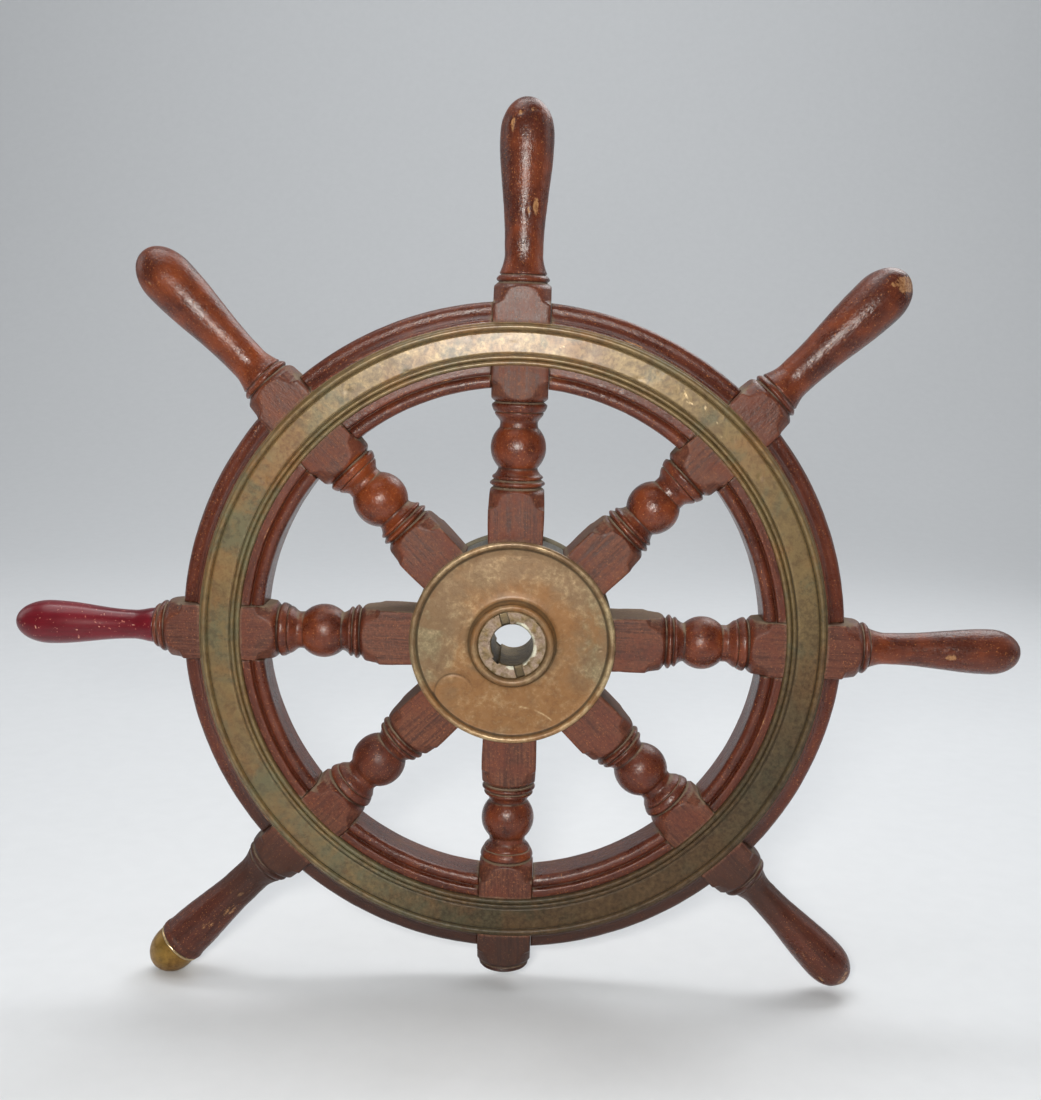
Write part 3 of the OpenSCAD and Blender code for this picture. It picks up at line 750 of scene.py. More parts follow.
def spoke_mesh(k, sizes):
    """One spoke. Each ring of points keeps inside both the square stock and the turned outline.

    The radius at an angle is a soft smaller-of-two: (square^-p + turned^-p)^(-1/p), where the
    square is a superellipse with eased corners. Columns crowd towards the corners.
    """
    kind = {BROKEN: "stub", CAPPED: "capped", MENDED: "mended"}.get(k, "slim" if k in SLIM else "whole")
    rng = np.random.default_rng(100 + k)
    lumps = Lumps(200 + k)
    along, radii, inner_end, outer_end = spoke_outline(sizes, kind, rng.uniform(-1, 1, 3))
    columns = LATHE_COLUMNS
    turn = np.linspace(0, 2 * np.pi, columns, endpoint=False)
    angle = turn + 0.15 * np.sin(4 * turn)
    cosine, sine = np.cos(angle), np.sin(angle)
    s = np.broadcast_to(along[:, None], (len(along), columns))
    own = np.stack([cosine * STOCK_HALF + 0 * s, sine * STOCK_HALF + 0 * s, s], -1)
    ease = 26 + 10 * lumps.field(own, 0.03)
    from_middle = np.abs(s - (NAVE_R + inner_end) / 2) / (inner_end - NAVE_R) * 2
    belly = 1 - 0.035 * from_middle ** 2 * (s < inner_end)
    belly = np.where(np.abs(cosine) > np.abs(sine), belly, 1.0)
    square = STOCK_HALF * belly / (np.abs(cosine) ** ease + np.abs(sine) ** ease) ** (1 / ease)
    round_r = np.broadcast_to(radii[:, None], s.shape)
    power = 90.0
    radius = (square ** -power + round_r ** -power) ** (-1 / power)
    squared = fade(round_r - square, -0.0003, 0.0006)
    height = relief(along, np.minimum(radii, STOCK_HALF * 1.02), 0.0022)[:, None] + 0 * s
    # the turning's grooves are darkened in the finish: painted shade
    groove = unit(-height * 3.2)
    crest = unit(height * 1.6) * (1 - squared)
    corner = hump(np.abs(np.abs(cosine) - np.abs(sine)), 0, 0.06) * squared
    border = 4 * squared * (1 - squared)
    crest = np.maximum(crest, np.maximum(corner, border * 0.9) * fade(lumps.rough(own, 0.006), -0.1, 0.7))
    bare = np.zeros_like(s)
    front = angle + np.pi / 2
    for far, degrees, length, width, slant, depth in MARKS.get(k, []):
        side = ((front - math.radians(degrees) + np.pi) % (2 * np.pi) - np.pi) * radius
        run = s - far
        wobble = 1 + 0.35 * lumps.rough(own, 0.004, 2)
        spot = np.exp(-((run - side * slant) / length * 2) ** 2 - (side / width) ** 2 * 1.2) * wobble
        bare = np.maximum(bare, unit(spot * 1.3) * depth)
    roughness = 0.00028 if kind == "capped" else 0.00010
    on_grip = fade(s, outer_end + 0.004, outer_end + 0.02)
    radius = radius - 0.0006 * bare + 0.00010 * lumps.rough(own, 0.011) * (1 - squared)
    radius = radius - np.abs(lumps.rough(own, 0.007)) * roughness * on_grip
    radius = radius - 0.0005 * corner * unit(lumps.rough(own, 0.009))
    if kind == "capped":
        facets = np.abs(((angle / (2 * np.pi) * 11) % 1) - 0.5)
        uneven = 1 + lumps.field(own, 0.02)
        radius = radius - 0.0005 * facets * on_grip * uneven * fade(cap_base(sizes) - s, 0, 0.01)
    own = np.stack([radius * cosine, radius * sine, s], -1)

    # seat the block on the round nave, and let the rings into it
    lift = np.sqrt(NAVE_R ** 2 - own[..., 0] ** 2) - NAVE_R
    first = np.searchsorted(along, NAVE_R)
    own = own[first:]
    matt = np.maximum(squared, 0.75 * fade(round_r, STOCK_HALF * 0.99, STOCK_HALF * 1.08))
    masks = {"squared": matt[first:], "groove": groove[first:], "crest": crest[first:], "bare": bare[first:]}
    own[..., 2] += lift[first:] * (1 - fade(own[..., 2], NAVE_R, NAVE_R + 0.008))
    reach = np.hypot(own[..., 0], own[..., 2])
    seat = (reach > RING_OUT - sizes.ring_width + 0.0012) & (reach < RING_OUT - 0.0012)
    own[..., 1] = np.where(seat, np.clip(own[..., 1], -RING_SEAT, RING_SEAT), own[..., 1])

    # the tenon inside the nave
    tenon_w, tenon_d = 0.0115, 0.0100
    tenon = 1 / np.maximum(np.abs(cosine) / tenon_w, np.abs(sine) / tenon_d)
    shoulder = np.sqrt(NAVE_R ** 2 - (tenon * cosine) ** 2)
    rows = [np.stack([tenon * cosine, tenon * sine, z + 0 * cosine], -1) for z in (TENON_END, shoulder)]
    own = np.concatenate([np.array(rows), own])
    masks = {label: np.concatenate([np.zeros((2, columns)), mask]) for label, mask in masks.items()}

    # dust: on sides that look up, in grooves, and where blocks meet the hub, rings and rim
    turn_out = spoke_turn(k)
    world = own @ turn_out.T
    normal = grid_normals(world, True)
    if np.mean(np.sum(normal[20:] * (world[20:] - own[20:, :, 2:] * turn_out[:, 2]), -1)) < 0:
        normal = -normal
    up = fade(normal[..., 2], 0.35, 0.95)
    side, s = np.abs(own[..., 0]), own[..., 2]
    reach = np.hypot(own[..., 0], s)
    seams = np.maximum.reduce([
        hump(reach, RING_OUT + 0.0006, 0.0011), hump(reach, RING_OUT - sizes.ring_width - 0.0006, 0.0011),
        hump(reach, HUB_R, 0.0015)]) * 0.75
    junction = np.maximum(hump(s, RIM_IN, 0.0028), hump(s, RIM_OUT, 0.0022)) * (side > STOCK_HALF * 0.93)
    still = 1 - fade(s, outer_end + 0.012, outer_end + 0.03)
    hollows = masks["groove"]
    outside = fade(s, RING_OUT - 0.001, RING_OUT + 0.002)
    # painted shade: outside the ring the spoke darkens towards the bottom of the wheel, half as much towards
    # its tip
    lower_shading = painted_lower_shade(world) * outside * (1 - 0.5 * fade(s, 0.24, 0.29))
    masks["groove"] = unit(masks["groove"] + lower_shading)
    masks["squared"] = masks["squared"] * (1 - 0.45 * outside)
    masks["dust"] = np.clip(
        up * (0.45 + 0.3 * masks["squared"]) * still + hollows * (0.55 + 0.35 * up) + seams * 0.7
        + junction * (0.5 + 0.4 * up), 0, 1.2) * fade(normal[..., 2], -0.8, 0.2)
    masks["tone"] = (
        np.full(s.shape, TONES[k]) + 0.25 * hump(s, outer_end + 0.016, 0.008) * (normal[..., 1] < 0.2)
        + 0.2 * hump(s, RIM_IN - sizes.ball_set + 0.006, 0.016) - 0.1 * hump(s, TIP, 0.01))
    last_z = {"whole": TIP, "slim": SLIM_TIP}.get(kind, own[-1, :, 2].mean())
    points = with_poles(own, (0, 0, TENON_END), (0, 0, last_z))
    shift = rng.uniform(-5, 5, 3)
    lean = rng.uniform(-0.03, 0.03, 2)
    grain = points + shift + points[:, 2:] * np.array([lean[0], lean[1], 0])
    return closed_mesh(f"turned_spoke_{k}", points @ turn_out.T, own.shape, masks, grain)


# Rim

def felloe_outline():
    """Closed section of the rim, as (radius, depth) from the mid-plane: roll, quirk, flat, hollow, edge."""
    half = RING_SEAT
    front = [(RIM_IN, 0), (RIM_IN, half - 0.0056)]
    front += arc((RIM_IN + 0.0042, half - 0.0052), 0.0042, 178, 22, 12)
    front += [(RIM_IN + 0.0083, half - 0.0033), (RIM_IN + 0.0087, half - 0.0006), (RIM_IN + 0.0092, half)]
    front += [(RING_OUT + 0.0011, half)] + arc((RIM_OUT - 0.005, half + 0.0002), 0.006, 190, 265, 9)
    front += arc((RIM_OUT - 0.0046, half - 0.0104), 0.0046, 78, 0, 9)
    back = [(r, -y) for r, y in reversed(front[1:])]
    return densify(front + back + [front[0]], 0.0011)[:-1]


def felloe_mesh(k, sizes):
    """One rim segment: the section swept between two spokes, cut square to each spoke's side.

    At radius r the sweep runs from asin(half stock / r) to the pitch less that angle.
    """
    rng = np.random.default_rng(300 + k)
    lumps = Lumps(400 + k)
    section = felloe_outline()
    gap = 0.00018
    steps = 108
    ease = np.linspace(0, 1, steps)
    edge = np.arcsin((STOCK_HALF + gap) / section[:, 0])
    angle = PITCH * (k - 1) + edge + (PITCH - 2 * edge) * ease[:, None]
    radius = section[:, 0] + 0 * angle
    depth = section[:, 1] + 0 * angle
    height = section_relief(section, 0.0014, 30)
    points = np.stack([radius * np.sin(angle), -depth, radius * np.cos(angle)], -1)
    dents = lumps.rough(points, 0.012)
    chips = unit(height) * unit(lumps.rough(points, 0.008) - 0.25)
    radius = radius - 0.00012 * dents * (radius > RIM_IN + 0.03) + 0.0001 * dents * (radius < RIM_IN + 0.03)
    radius = radius + np.where(radius > RIM_IN + 0.027, -1, 1) * 0.0008 * chips
    radius = np.clip(radius, RIM_IN, RIM_OUT)
    points = np.stack([radius * np.sin(angle), -depth, radius * np.cos(angle)], -1)
    normal = grid_normals(points, True)
    outer = section[:, 0] > RIM_OUT - 0.001
    if np.mean(np.sum(normal[:, outer] * points[:, outer], -1)) < 0:
        normal = -normal
    up = fade(normal[..., 2], 0.3, 0.95)
    end = np.minimum(ease, 1 - ease)[:, None] * (PITCH - 2 * edge) * section[:, 0]
    # the moulding's grooves are darkened in the finish as painted shade; the segment's ends are dark joints
    groove = unit(-height * 1.4) + 0 * angle
    flat = fade(np.abs(np.abs(depth) - RING_SEAT), 0.0004, 0.0)
    edge_line = np.maximum(hump(radius, RING_OUT + 0.0004, 0.0009),
                           hump(radius, RING_OUT - sizes.ring_width - 0.0004, 0.0009)) * flat
    masks = {
        "squared": flat * 0.12,
        # painted shade: outside the ring the rim darkens towards the bottom of the wheel
        "groove": unit(groove + 0.8 * hump(end, 0, 0.0008) + painted_lower_shade(points) * (radius > RING_OUT)),
        "crest": unit(height * 0.9) * fade(lumps.rough(points, 0.02), -0.3, 0.6),
        "bare": unit(chips * 2.6 + 0.55 * (unit(height) > 0.2) * fade(
            lumps.rough(points, 0.016), 0.62, 0.9)),
        "dust": np.clip(up * 0.42 + groove * 0.35 + edge_line * 0.35 + 0.5 * hump(end, 0, 0.0022), 0, 1.2)
        * fade(normal[..., 2], -0.9, 0.1),
        "tone": np.full(angle.shape, 0.36 + 0.1 * rng.uniform(-1, 1)),
    }
    middle = PITCH * (k - 0.5)
    along = np.array([math.cos(middle), 0, -math.sin(middle)])
    outward = np.array([math.sin(middle), 0, math.cos(middle)])
    flat_points = points.reshape(-1, 3)
    grain = np.stack([flat_points @ outward, flat_points[:, 1], flat_points @ along], -1)
    grain = grain + rng.uniform(-5, 5, 3)
    grain = np.concatenate([grain, grain[:1], grain[-1:]])
    full = with_poles(points, points[0].mean(axis=0), points[-1].mean(axis=0))
    return closed_mesh(f"rim_segment_{k}", full, points.shape, masks, grain)


# Brass

RING_STEPS, PLATE_STEPS, BUSH_STEPS = 720, 600, 640     # points round each swept piece


def swept(section, steps):
    """Angles round the wheel, and a section's two coordinates at each of them."""
    angle = np.linspace(0, 2 * np.pi, steps, endpoint=False)[:, None]
    return angle, section[:, 0] + 0 * angle, section[:, 1] + 0 * angle


def ring_outline(sizes):
    """Closed section of the brass ring, as (radius, height above its seat)."""
    top = RING_FRONT - RING_SEAT
    flat = top - 0.0011
    inner = RING_OUT - sizes.ring_width
    line = [(inner, 0), (inner, flat - 0.0012)]
    line += arc((inner + 0.0016, flat - 0.0008), 0.0016, 178, 22, 8)
    line += [(inner + 0.0033, flat - 0.0011)] + arc((inner + 0.0050, flat - 0.0008), 0.0014, 158, 22, 8)
    line += [(inner + 0.0068, flat - 0.0010), (inner + 0.0072, flat - 0.0003), (inner + 0.0077, flat)]
    outer = RING_OUT
    line += [(outer - 0.0062, flat), (outer - 0.0058, flat - 0.0003), (outer - 0.0054, flat - 0.0010)]
    line += arc((outer - 0.0030, flat - 0.0009), 0.0020, 158, 22, 10)
    line += [(outer - 0.0008, flat - 0.0011), (outer - 0.0004, flat - 0.0009), (outer, flat - 0.0013)]
    line += [(outer, 0), (inner, 0)]
    return densify(line, 0.0009)[:-1]


# scratches in a ring's flat band: degrees clockwise from the top, offset outwards, half length, width, slant
RING_SCRATCHES = [
    (8.0, 0.0010, 0.0030, 0.0006, 0.7), (9.4, -0.0004, 0.0026, 0.0005, 0.8),
    (6.5, -0.0030, 0.0020, 0.0005, 0.6), (32.5, 0.0022, 0.0042, 0.0008, -0.5),
    (34.2, -0.0004, 0.0030, 0.0009, 0.3), (37.0, 0.0030, 0.0034, 0.0007, -0.9),
    (40.5, 0.0006, 0.0050, 0.0006, -0.2), (43.0, -0.0026, 0.0028, 0.0010, 0.9),
    (316.0, 0.0012, 0.0040, 0.0005, 0.2),
]


def ring_mesh(name, sizes, facing, seed):
    """A brass ring: its section swept round the wheel, with slow waves and small dents in the flat band."""
    lumps = Lumps(seed)
    section = ring_outline(sizes)
    angle, radius, height = swept(section, RING_STEPS)
    raised = section_relief(section, 0.0012, 20)
    points = np.stack([radius * np.sin(angle), -facing * (RING_SEAT + height), radius * np.cos(angle)], -1)
    surface = section[:, 1] > 0.0016
    dents = lumps.rough(points, 0.018, 2)
    pits = unit(lumps.rough(points, 0.0045, 2) - 0.75)
    drop = (0.00010 * np.clip(dents + 0.4, 0, 2) + 0.0005 * pits) * surface
    points[..., 1] += facing * drop
    normal = grid_normals(points, True)
    top = section[:, 1] > np.max(section[:, 1]) - 0.0001
    if np.mean(normal[:, top, 1]) * -facing < 0:
        normal = -normal
    up = fade(normal[..., 2], 0.1, 0.9)
    wear = fade(lumps.rough(points, 0.05), -0.6, 0.5)
    # painted shade: the ring's lower right is darkened
    low_side = fade(np.cos(angle - math.radians(145)), -0.1, 0.9)
    middle = RING_OUT - sizes.ring_width / 2
    scratch = np.zeros_like(radius)
    for clock, out, length, width, slant in RING_SCRATCHES:
        run = (angle - math.radians(clock)) * radius
        rise = radius - middle - out
        along = run * math.cos(slant) + rise * math.sin(slant)
        across = rise * math.cos(slant) - run * math.sin(slant)
        scratch = np.maximum(scratch, np.exp(-(along / length) ** 4 - (across / width) ** 2))
    scratch = scratch * fade(lumps.rough(points, 0.003, 2), -0.5, 0.6) * 0.7
    # the sides down by the seat, where the ring meets the wood, are darkened: painted shade
    hidden = section[:, 1] < 0.0012
    masks = {
        "groove": np.clip(unit(-raised * 2.2) + 0.8 * hidden + 0.72 * low_side, 0, 1.1),
        "crest": unit(raised * 1.5) * (0.35 + 0.65 * wear) + pits * 0.5 + 1.3 * scratch,
        "dust": unit(unit(-raised * 1.6) * (0.35 + 0.65 * up) + 0.2 * up),
        "brown": 0.30 + 0.55 * hump(np.cos(angle - math.radians(160)), 1, 0.16)
        + 0.2 * unit(dents) + 0 * radius,
        "green": 0.32 + 0.35 * hump(np.cos(angle - math.radians(205)), 1, 0.22)
        + 0.30 * hump(np.cos(angle - math.radians(285)), 1, 0.10) + 0.15 * unit(-raised),
    }
    return build_mesh(name, points, grid_faces(*radius.shape, wrap_rows=True), masks=masks)


def plate_outline(sizes):
    """Closed section of a hub plate, as (radius, height above its seat): boss, dished face, rolled edge."""
    top = HUB_FRONT - NAVE_HALF
    t = sizes.plate_t
    line = [(BUSH_R, 0), (BUSH_R, top - 0.0026), (BUSH_R + 0.0003, top - 0.0020)]
    line += arc((BUSH_R + 0.0026, top - 0.0024), 0.0024, 165, 25, 10)
    line += arc((BUSH_R + 0.0098, t + 0.0058), 0.0055, 200, 262, 9)
    line += [(BUSH_R + 0.0120, t + 0.0001), (HUB_R - 0.0090, t - 0.0002), (HUB_R - 0.0052, t)]
    line += [(HUB_R - 0.0043, t + 0.0006)] + arc((HUB_R - 0.0020, t + 0.0003), 0.0020, 155, -80, 14)
    line += [(NAVE_R + 0.0001, t - 0.0016), (NAVE_R, 0), (BUSH_R, 0)]
    return densify(line, 0.0011)[:-1]


def plate_mesh(name, sizes, facing, seed):
    """A hub plate: its section swept round the axis, with a dent, pits and uneven metal on the face."""
    lumps = Lumps(seed)
    section = plate_outline(sizes)
    angle, radius, height = swept(section, PLATE_STEPS)
    raised = section_relief(section, 0.0014, 20)
    x, z = radius * np.sin(angle), radius * np.cos(angle)
    points = np.stack([x, -facing * (NAVE_HALF + height), z], -1)
    face = (section[:, 1] > 0.0015) & (section[:, 0] > BUSH_R + 0.006) & (section[:, 0] < HUB_R - 0.0045)
    waves = lumps.rough(points, 0.025, 2)
    pits = unit(lumps.rough(points, 0.0028, 2) - 0.55)
    pits = pits * fade(x, 0.02, 0.045) * fade(0.03 - np.abs(z), 0, 0.02)
    bruise = np.hypot(x + 0.037, z + 0.034)
    dent = hump(bruise, 0.0125, 0.0011) * fade(z + x * -0.3, -0.036, -0.014)
    nicks = unit(lumps.rough(points, 0.005, 2) - 0.3) * (unit(raised) > 0.15)
    scratch = hump(np.hypot(x - 0.004, z + 0.078), 0.036, 0.0005)
    scratch = scratch * fade(x, -0.004, 0.008) * fade(0.036 - x, 0, 0.006)
    scratch = scratch * face * fade(lumps.rough(points, 0.01), -0.5, 0.3)
    drop = (0.00016 * (waves + 1) + 0.0006 * pits + 0.0004 * dent) * face + 0.0010 * nicks
    points[..., 1] += facing * drop
    normal = grid_normals(points, True)
    if np.mean(normal[:, face, 1]) * -facing < 0:
        normal = -normal
    up = fade(normal[..., 2], 0.2, 0.9)
    # painted shade: a darker band inside the rolled edge
    rim_step = hump(section[:, 0], HUB_R - 0.0047, 0.0010) * (section[:, 1] > 0.002)
    rolled = section[:, 0] > HUB_R * 0.7
    wear = fade(lumps.rough(points, 0.02), -0.9, 0.4)
    # painted shade: a dark line round the foot of the boss and the bush
    boss_line = 0.32 * (section[:, 0] < BUSH_R + 0.0070) + 0.25 * hump(section[:, 0], BUSH_R + 0.0068, 0.0016)
    masks = {
        # the dent and the plate's side down by its seat are darkened as well: painted shade
        "groove": unit(unit(-raised * 2.0) + 0.6 * rim_step + boss_line + 1.1 * pits * face
                       + 0.9 * (section[:, 1] < 0.0013) + 0.6 * dent * face),
        "crest": unit(raised * 1.8 * rolled * wear * (1 - 0.8 * nicks) + 0.45 * scratch),
        "dust": np.clip(0.25 * up + 0.25 * rim_step * up + (1.3 if facing < 0 else 0.1 * up) * (
            section[:, 0] > HUB_R - 0.003), 0, 1.4) + 0 * angle,
        "brown": 0.25 + 0.5 * hump(radius, BUSH_R + 0.012, 0.010) + 0.55 * hump(z, -HUB_R * 0.72, 0.022)
        + 0.15 * hump(z, HUB_R * 0.5, 0.02) * hump(x, 0, 0.03),
        "green": 0.10 + 0.48 * fade(np.abs(x), HUB_R * 0.45, HUB_R * 0.8) * hump(z, 0.004, 0.040),
    }
    return build_mesh(name, points, grid_faces(*radius.shape, wrap_rows=True), masks=masks)


# the bush's keyway and the slots across its front end: angle from +X, half width, depth
KEY_ANGLE, KEY_HALF, KEY_DEPTH = math.radians(225), 0.0025, 0.0022
SLOT_ANGLE, SLOT_HALF, SLOT_DEPTH = math.radians(107), 0.0027, 0.0025


def bush_mesh():
    """The bush as one loop swept round: barrel, rough front end with two slots, keyed bore, plain back."""
    lumps = Lumps(900)
    slope = 0.0012
    outer, bore, end = BUSH_R, BORE_R, BUSH_END
    loop = [(outer, end - 0.0002), (outer, -end + slope), (outer - 0.0006, -end + slope * 0.7)]
    loop += [(bore + 0.0022, -end + 0.0004), (bore + 0.0010, -end + 0.0002), (bore + 0.0003, -end + 0.0009)]
    loop += [(bore, -end + 0.0018), (bore, end - 0.0012), (bore + 0.0008, end), (outer - 0.0008, end)]
    loop += [(outer, end - 0.0002)]
    angle, radius, depth = swept(densify(loop, 0.0009)[:-1], BUSH_STEPS)
    cosine, sine = np.cos(angle), np.sin(angle)
    flat = np.stack([radius * cosine, depth, radius * sine], -1)
    in_bore = radius < BORE_R + 0.0012
    off = angle - KEY_ANGLE
    across = np.abs(np.sin(off)) * radius
    in_key = fade(KEY_HALF + 0.00012 - across, 0, 0.00024) * (np.cos(off) > 0) * in_bore
    radius = radius + in_key * ((BORE_R + KEY_DEPTH) / np.maximum(np.cos(off), 0.5) - radius)
    front = depth < -BUSH_END + 0.0022
    slot_across = np.abs(np.sin(angle - SLOT_ANGLE)) * radius
    in_slot = fade(SLOT_HALF + 0.00015 - slot_across, 0, 0.0003) * front
    crust = lumps.rough(flat, 0.0035, 3)
    face = front & (radius > BORE_R + 0.0006) & (radius < BUSH_R - 0.0002)
    depth = depth + face * (0.00045 * np.clip(crust + 0.6, 0, 2)) * (1 - in_slot)
    chipped = unit(lumps.rough(flat, 0.005, 2) - 0.1) * hump(radius, BORE_R, 0.0016) * front
    depth = depth + 0.0016 * chipped
    depth = depth + in_slot * (SLOT_DEPTH - 0.4 * (depth + BUSH_END))
    bore_rough = in_bore * (0.00012 * unit(lumps.rough(flat * [1, 0.4, 1], 0.003, 2)))
    radius = radius + bore_rough
    points = np.stack([radius * cosine, depth, radius * sine], -1)
    # painted shade: the slots darken, most by their walls, and so do the bore and the outer edge of the front
    # end
    slot_shade = in_slot * (0.72 + 0.3 * hump(slot_across, 0.0024, 0.0006))
    masks = {
        "groove": unit(0.5 * in_bore + slot_shade + in_key * 0.3 + 0.45 * (radius > BUSH_R - 0.0009) * front),
        "crest": hump(radius, BORE_R + 0.0010, 0.0020) * front * (1 - in_slot) * np.clip(
            lumps.rough(flat, 0.0070, 2) + 0.45, 0, 1.1),
        "dust": face * (1 - in_slot) * np.clip(0.92 + 0.25 * crust, 0, 1.2),
    }
    return build_mesh("shaft_bush", points, grid_faces(*radius.shape, wrap_rows=True), masks=masks)


def bush_finish():
    """Rough bronze under a pale pinkish-grey crust, with a dull bore darkened as painted shade."""
    f = Finish("bush_bronze")
    where = f.place()
    groove, crest, dust = f.mask("groove"), f.mask("crest"), f.mask("dust")
    clouds = f.noise(where, 160.0, 4.0, 0.65, 0.4)
    speck = f.noise(where, 700.0, 3.0, 0.6)
    metal_colour = f.blend(f.between(clouds, 0.35, 0.7), (0.13, 0.090, 0.036), (0.26, 0.18, 0.075))
    crust = f.between(dust + (clouds - 0.5) * 1.7, 0.50, 1.20)
    pale = f.blend(f.between(speck, 0.35, 0.65), (0.25, 0.175, 0.135), (0.36, 0.28, 0.22))
    mixed = f.blend(crust * 0.9, metal_colour, pale)
    chipped = f.blend(f.between(crest + (speck - 0.5) * 0.8, 0.30, 0.80) * 0.8, mixed, (0.62, 0.62, 0.50))
    dark = f.blend(f.between(groove + (speck - 0.5) * 0.3, 0.2, 1.0) * 0.75, chipped, (0.075, 0.062, 0.045))
    f.bumps(clouds * 0.7 + speck * 0.5, 0.0005, 0.9)
    rough = 0.5 + crust * 0.3 + (speck - 0.5) * 0.2
    return f.surface(base_color=dark, metallic=(0.75 - crust * 0.65).most(0.08), roughness=rough)


# Repairs

def red_mesh(sizes):
    """The replacement handle: flared foot, waist, long swelling and a full round tip."""
    waist = sizes.red_waist_r
    along, radii = turned(COLLAR_END + 0.0001, waist + 0.0014, [
        ("round", COLLAR_END + 0.0006, waist + 0.0018), ("swell", COLLAR_END + 0.0140, waist),
        ("swell", RED_TIP - sizes.red_r * 1.6, sizes.red_r)])
    along, radii = rounded_end(along, radii, RED_TIP, 0.98)
    lumps = Lumps(700)
    own = revolve(along, radii, LATHE_COLUMNS)
    chips = unit(lumps.rough(own, 0.0020, 2) - 0.92) * 4
    wobble = 0.00006 * lumps.rough(own, 0.02)
    own = revolve(along, radii, LATHE_COLUMNS, wobble - 0.0003 * unit(chips))
    points = with_poles(own, (0, 0, COLLAR_END + 0.0001), (0, 0, RED_TIP))
    masks = {"bare": unit(chips), "groove": hump(own[..., 2], COLLAR_END, 0.0012)}
    return closed_mesh("red_replacement_handle", points @ spoke_turn(MENDED).T, own.shape, masks, points)


def red_finish():
    """Deep red gloss varnish over turned wood, with faint streaks, pinholes and tiny chips."""
    f = Finish("red_varnish", ior=1.5, specular_ior_level=0.28, coat_roughness=0.20, coat_ior=1.5)
    grain = f.grain()
    bare, groove = f.mask("bare"), f.mask("groove")
    streaks = f.noise(f.stretched(grain, (220, 220, 8)), 1.0, 4.0, 0.6, 0.3)
    speck = f.noise(grain, 500.0, 2.0, 0.6)
    cloud = f.noise(grain, 30.0, 2.0, 0.5)
    deep = f.blend(f.between(streaks * 0.4 + cloud * 0.6, 0.25, 0.65), (0.080, 0.002, 0.006), shade("red"))
    pinned = f.blend(f.between(speck, 0.66, 0.71) * 0.8, deep, (0.48, 0.16, 0.12))
    chipped = f.blend(f.between(bare, 0.25, 0.6), pinned, (0.56, 0.27, 0.20))
    dark = f.blend(groove * 0.7, chipped, (0.02, 0.004, 0.004))
    f.bumps(streaks * 0.06 + speck * 0.14 + cloud * 0.3, 0.0006, 0.5)
    return f.surface(base_color=dark, roughness=0.34 + (cloud - 0.5) * 0.25,
                     coat_weight=0.30 - bare.least(0.30))


def cap_mesh(sizes):
    """The brass end cap: a thin rolled rim, a short barrel and an egg-shaped dome, closed over its socket."""
    base, radius = cap_base(sizes), sizes.cap_r
    tip = base + sizes.cap_len
    along, radii = turned(base + 0.0001, radius - 0.0014, [
        ("line", base + 0.0002, radius + 0.0001), ("bead", base + 0.0018, radius + 0.0006),
        ("line", base + 0.0021, radius - 0.0002), ("line", tip - radius * 1.2, radius - 0.0001)], 0.00025)
    along, radii = rounded_end(along, radii, tip, 0.98)
    lumps = Lumps(750)
    own = revolve(along, radii, LATHE_COLUMNS)
    dents = 0.00012 * lumps.rough(own, 0.008)
    own = revolve(along, radii, LATHE_COLUMNS, dents - 0.00012)
    height = relief(along, radii, 0.0012)[:, None] + 0 * own[..., 0]
    points = with_poles(own, (0, 0, base + 0.0001), (0, 0, tip - 0.0001))
    masks = {
        # the cap's grooves are darkened in the finish: painted shade
        "groove": unit(-height * 2),
        "crest": unit(1.5 * hump(own[..., 2], base + 0.0010, 0.0007)),
        "dust": 0 * height, "brown": 0 * height + 0.25, "green": 0 * height + 0.2,
    }
    return closed_mesh("handle_end_cap", points @ spoke_turn(CAPPED).T, own.shape, masks)


def snapped_dowel_mesh():
    """The broken dowel: a pale peg with a splintered end, made uneven by steep random lumps."""
    root = -high("stub_dowel", 2)
    radius = high("stub_dowel", 0)
    along, radii = turned(root, radius * 0.9, [
        ("line", root + 0.001, radius), ("line", STUB_TIP - 0.0012, radius),
        ("line", STUB_TIP - 0.0006, radius * 0.72)], 0.0004)
    inner = np.linspace(radii[-1], 0.0002, 9)[1:]
    along = np.concatenate([along, np.full(len(inner), STUB_TIP - 0.0004)])
    radii = np.concatenate([radii, inner])
    lumps = Lumps(770)
    own = revolve(along, radii, 48)
    splinter = np.abs(lumps.rough(own * [1, 1, 0.1], 0.0016, 2))
    end = fade(own[..., 2], STUB_TIP - 0.003, STUB_TIP - 0.001)
    own[..., 2] -= 0.0022 * splinter * end
    own[..., :2] *= (1 - 0.12 * lumps.rough(own, 0.003, 2)[..., None] * end[..., None])
    points = with_poles(own, (0, 0, root), (0, 0, own[-1, :, 2].mean()))
    zero = 0 * own[..., 0]
    masks = {"squared": zero + 1, "groove": zero + 0.3 * end * splinter, "crest": zero, "bare": zero + 1.2,
             "dust": zero, "tone": zero + 0.5}
    return closed_mesh("snapped_dowel", points @ spoke_turn(BROKEN).T, own.shape, masks, points)


def plain_wood_finish(name, colour, rough=0.7):
    """Bare wood of the CAD's hidden and plain pieces, with a fine streaky grain in the object's own space."""
    f = Finish(name)
    where = f.place()
    streaks = f.noise(f.stretched(where, (900, 60, 900)), 1.0, 4.0, 0.6, 0.3)
    cloud = f.noise(where, 60.0, 3.0, 0.55)
    dark = tuple(c * 0.55 for c in colour)
    body = f.blend(f.between(streaks * 0.6 + cloud * 0.4, 0.35, 0.65), dark, colour)
    f.bumps(streaks, 0.00015, 0.6)
    return f.surface(base_color=body, roughness=rough + (streaks - 0.5) * 0.2)


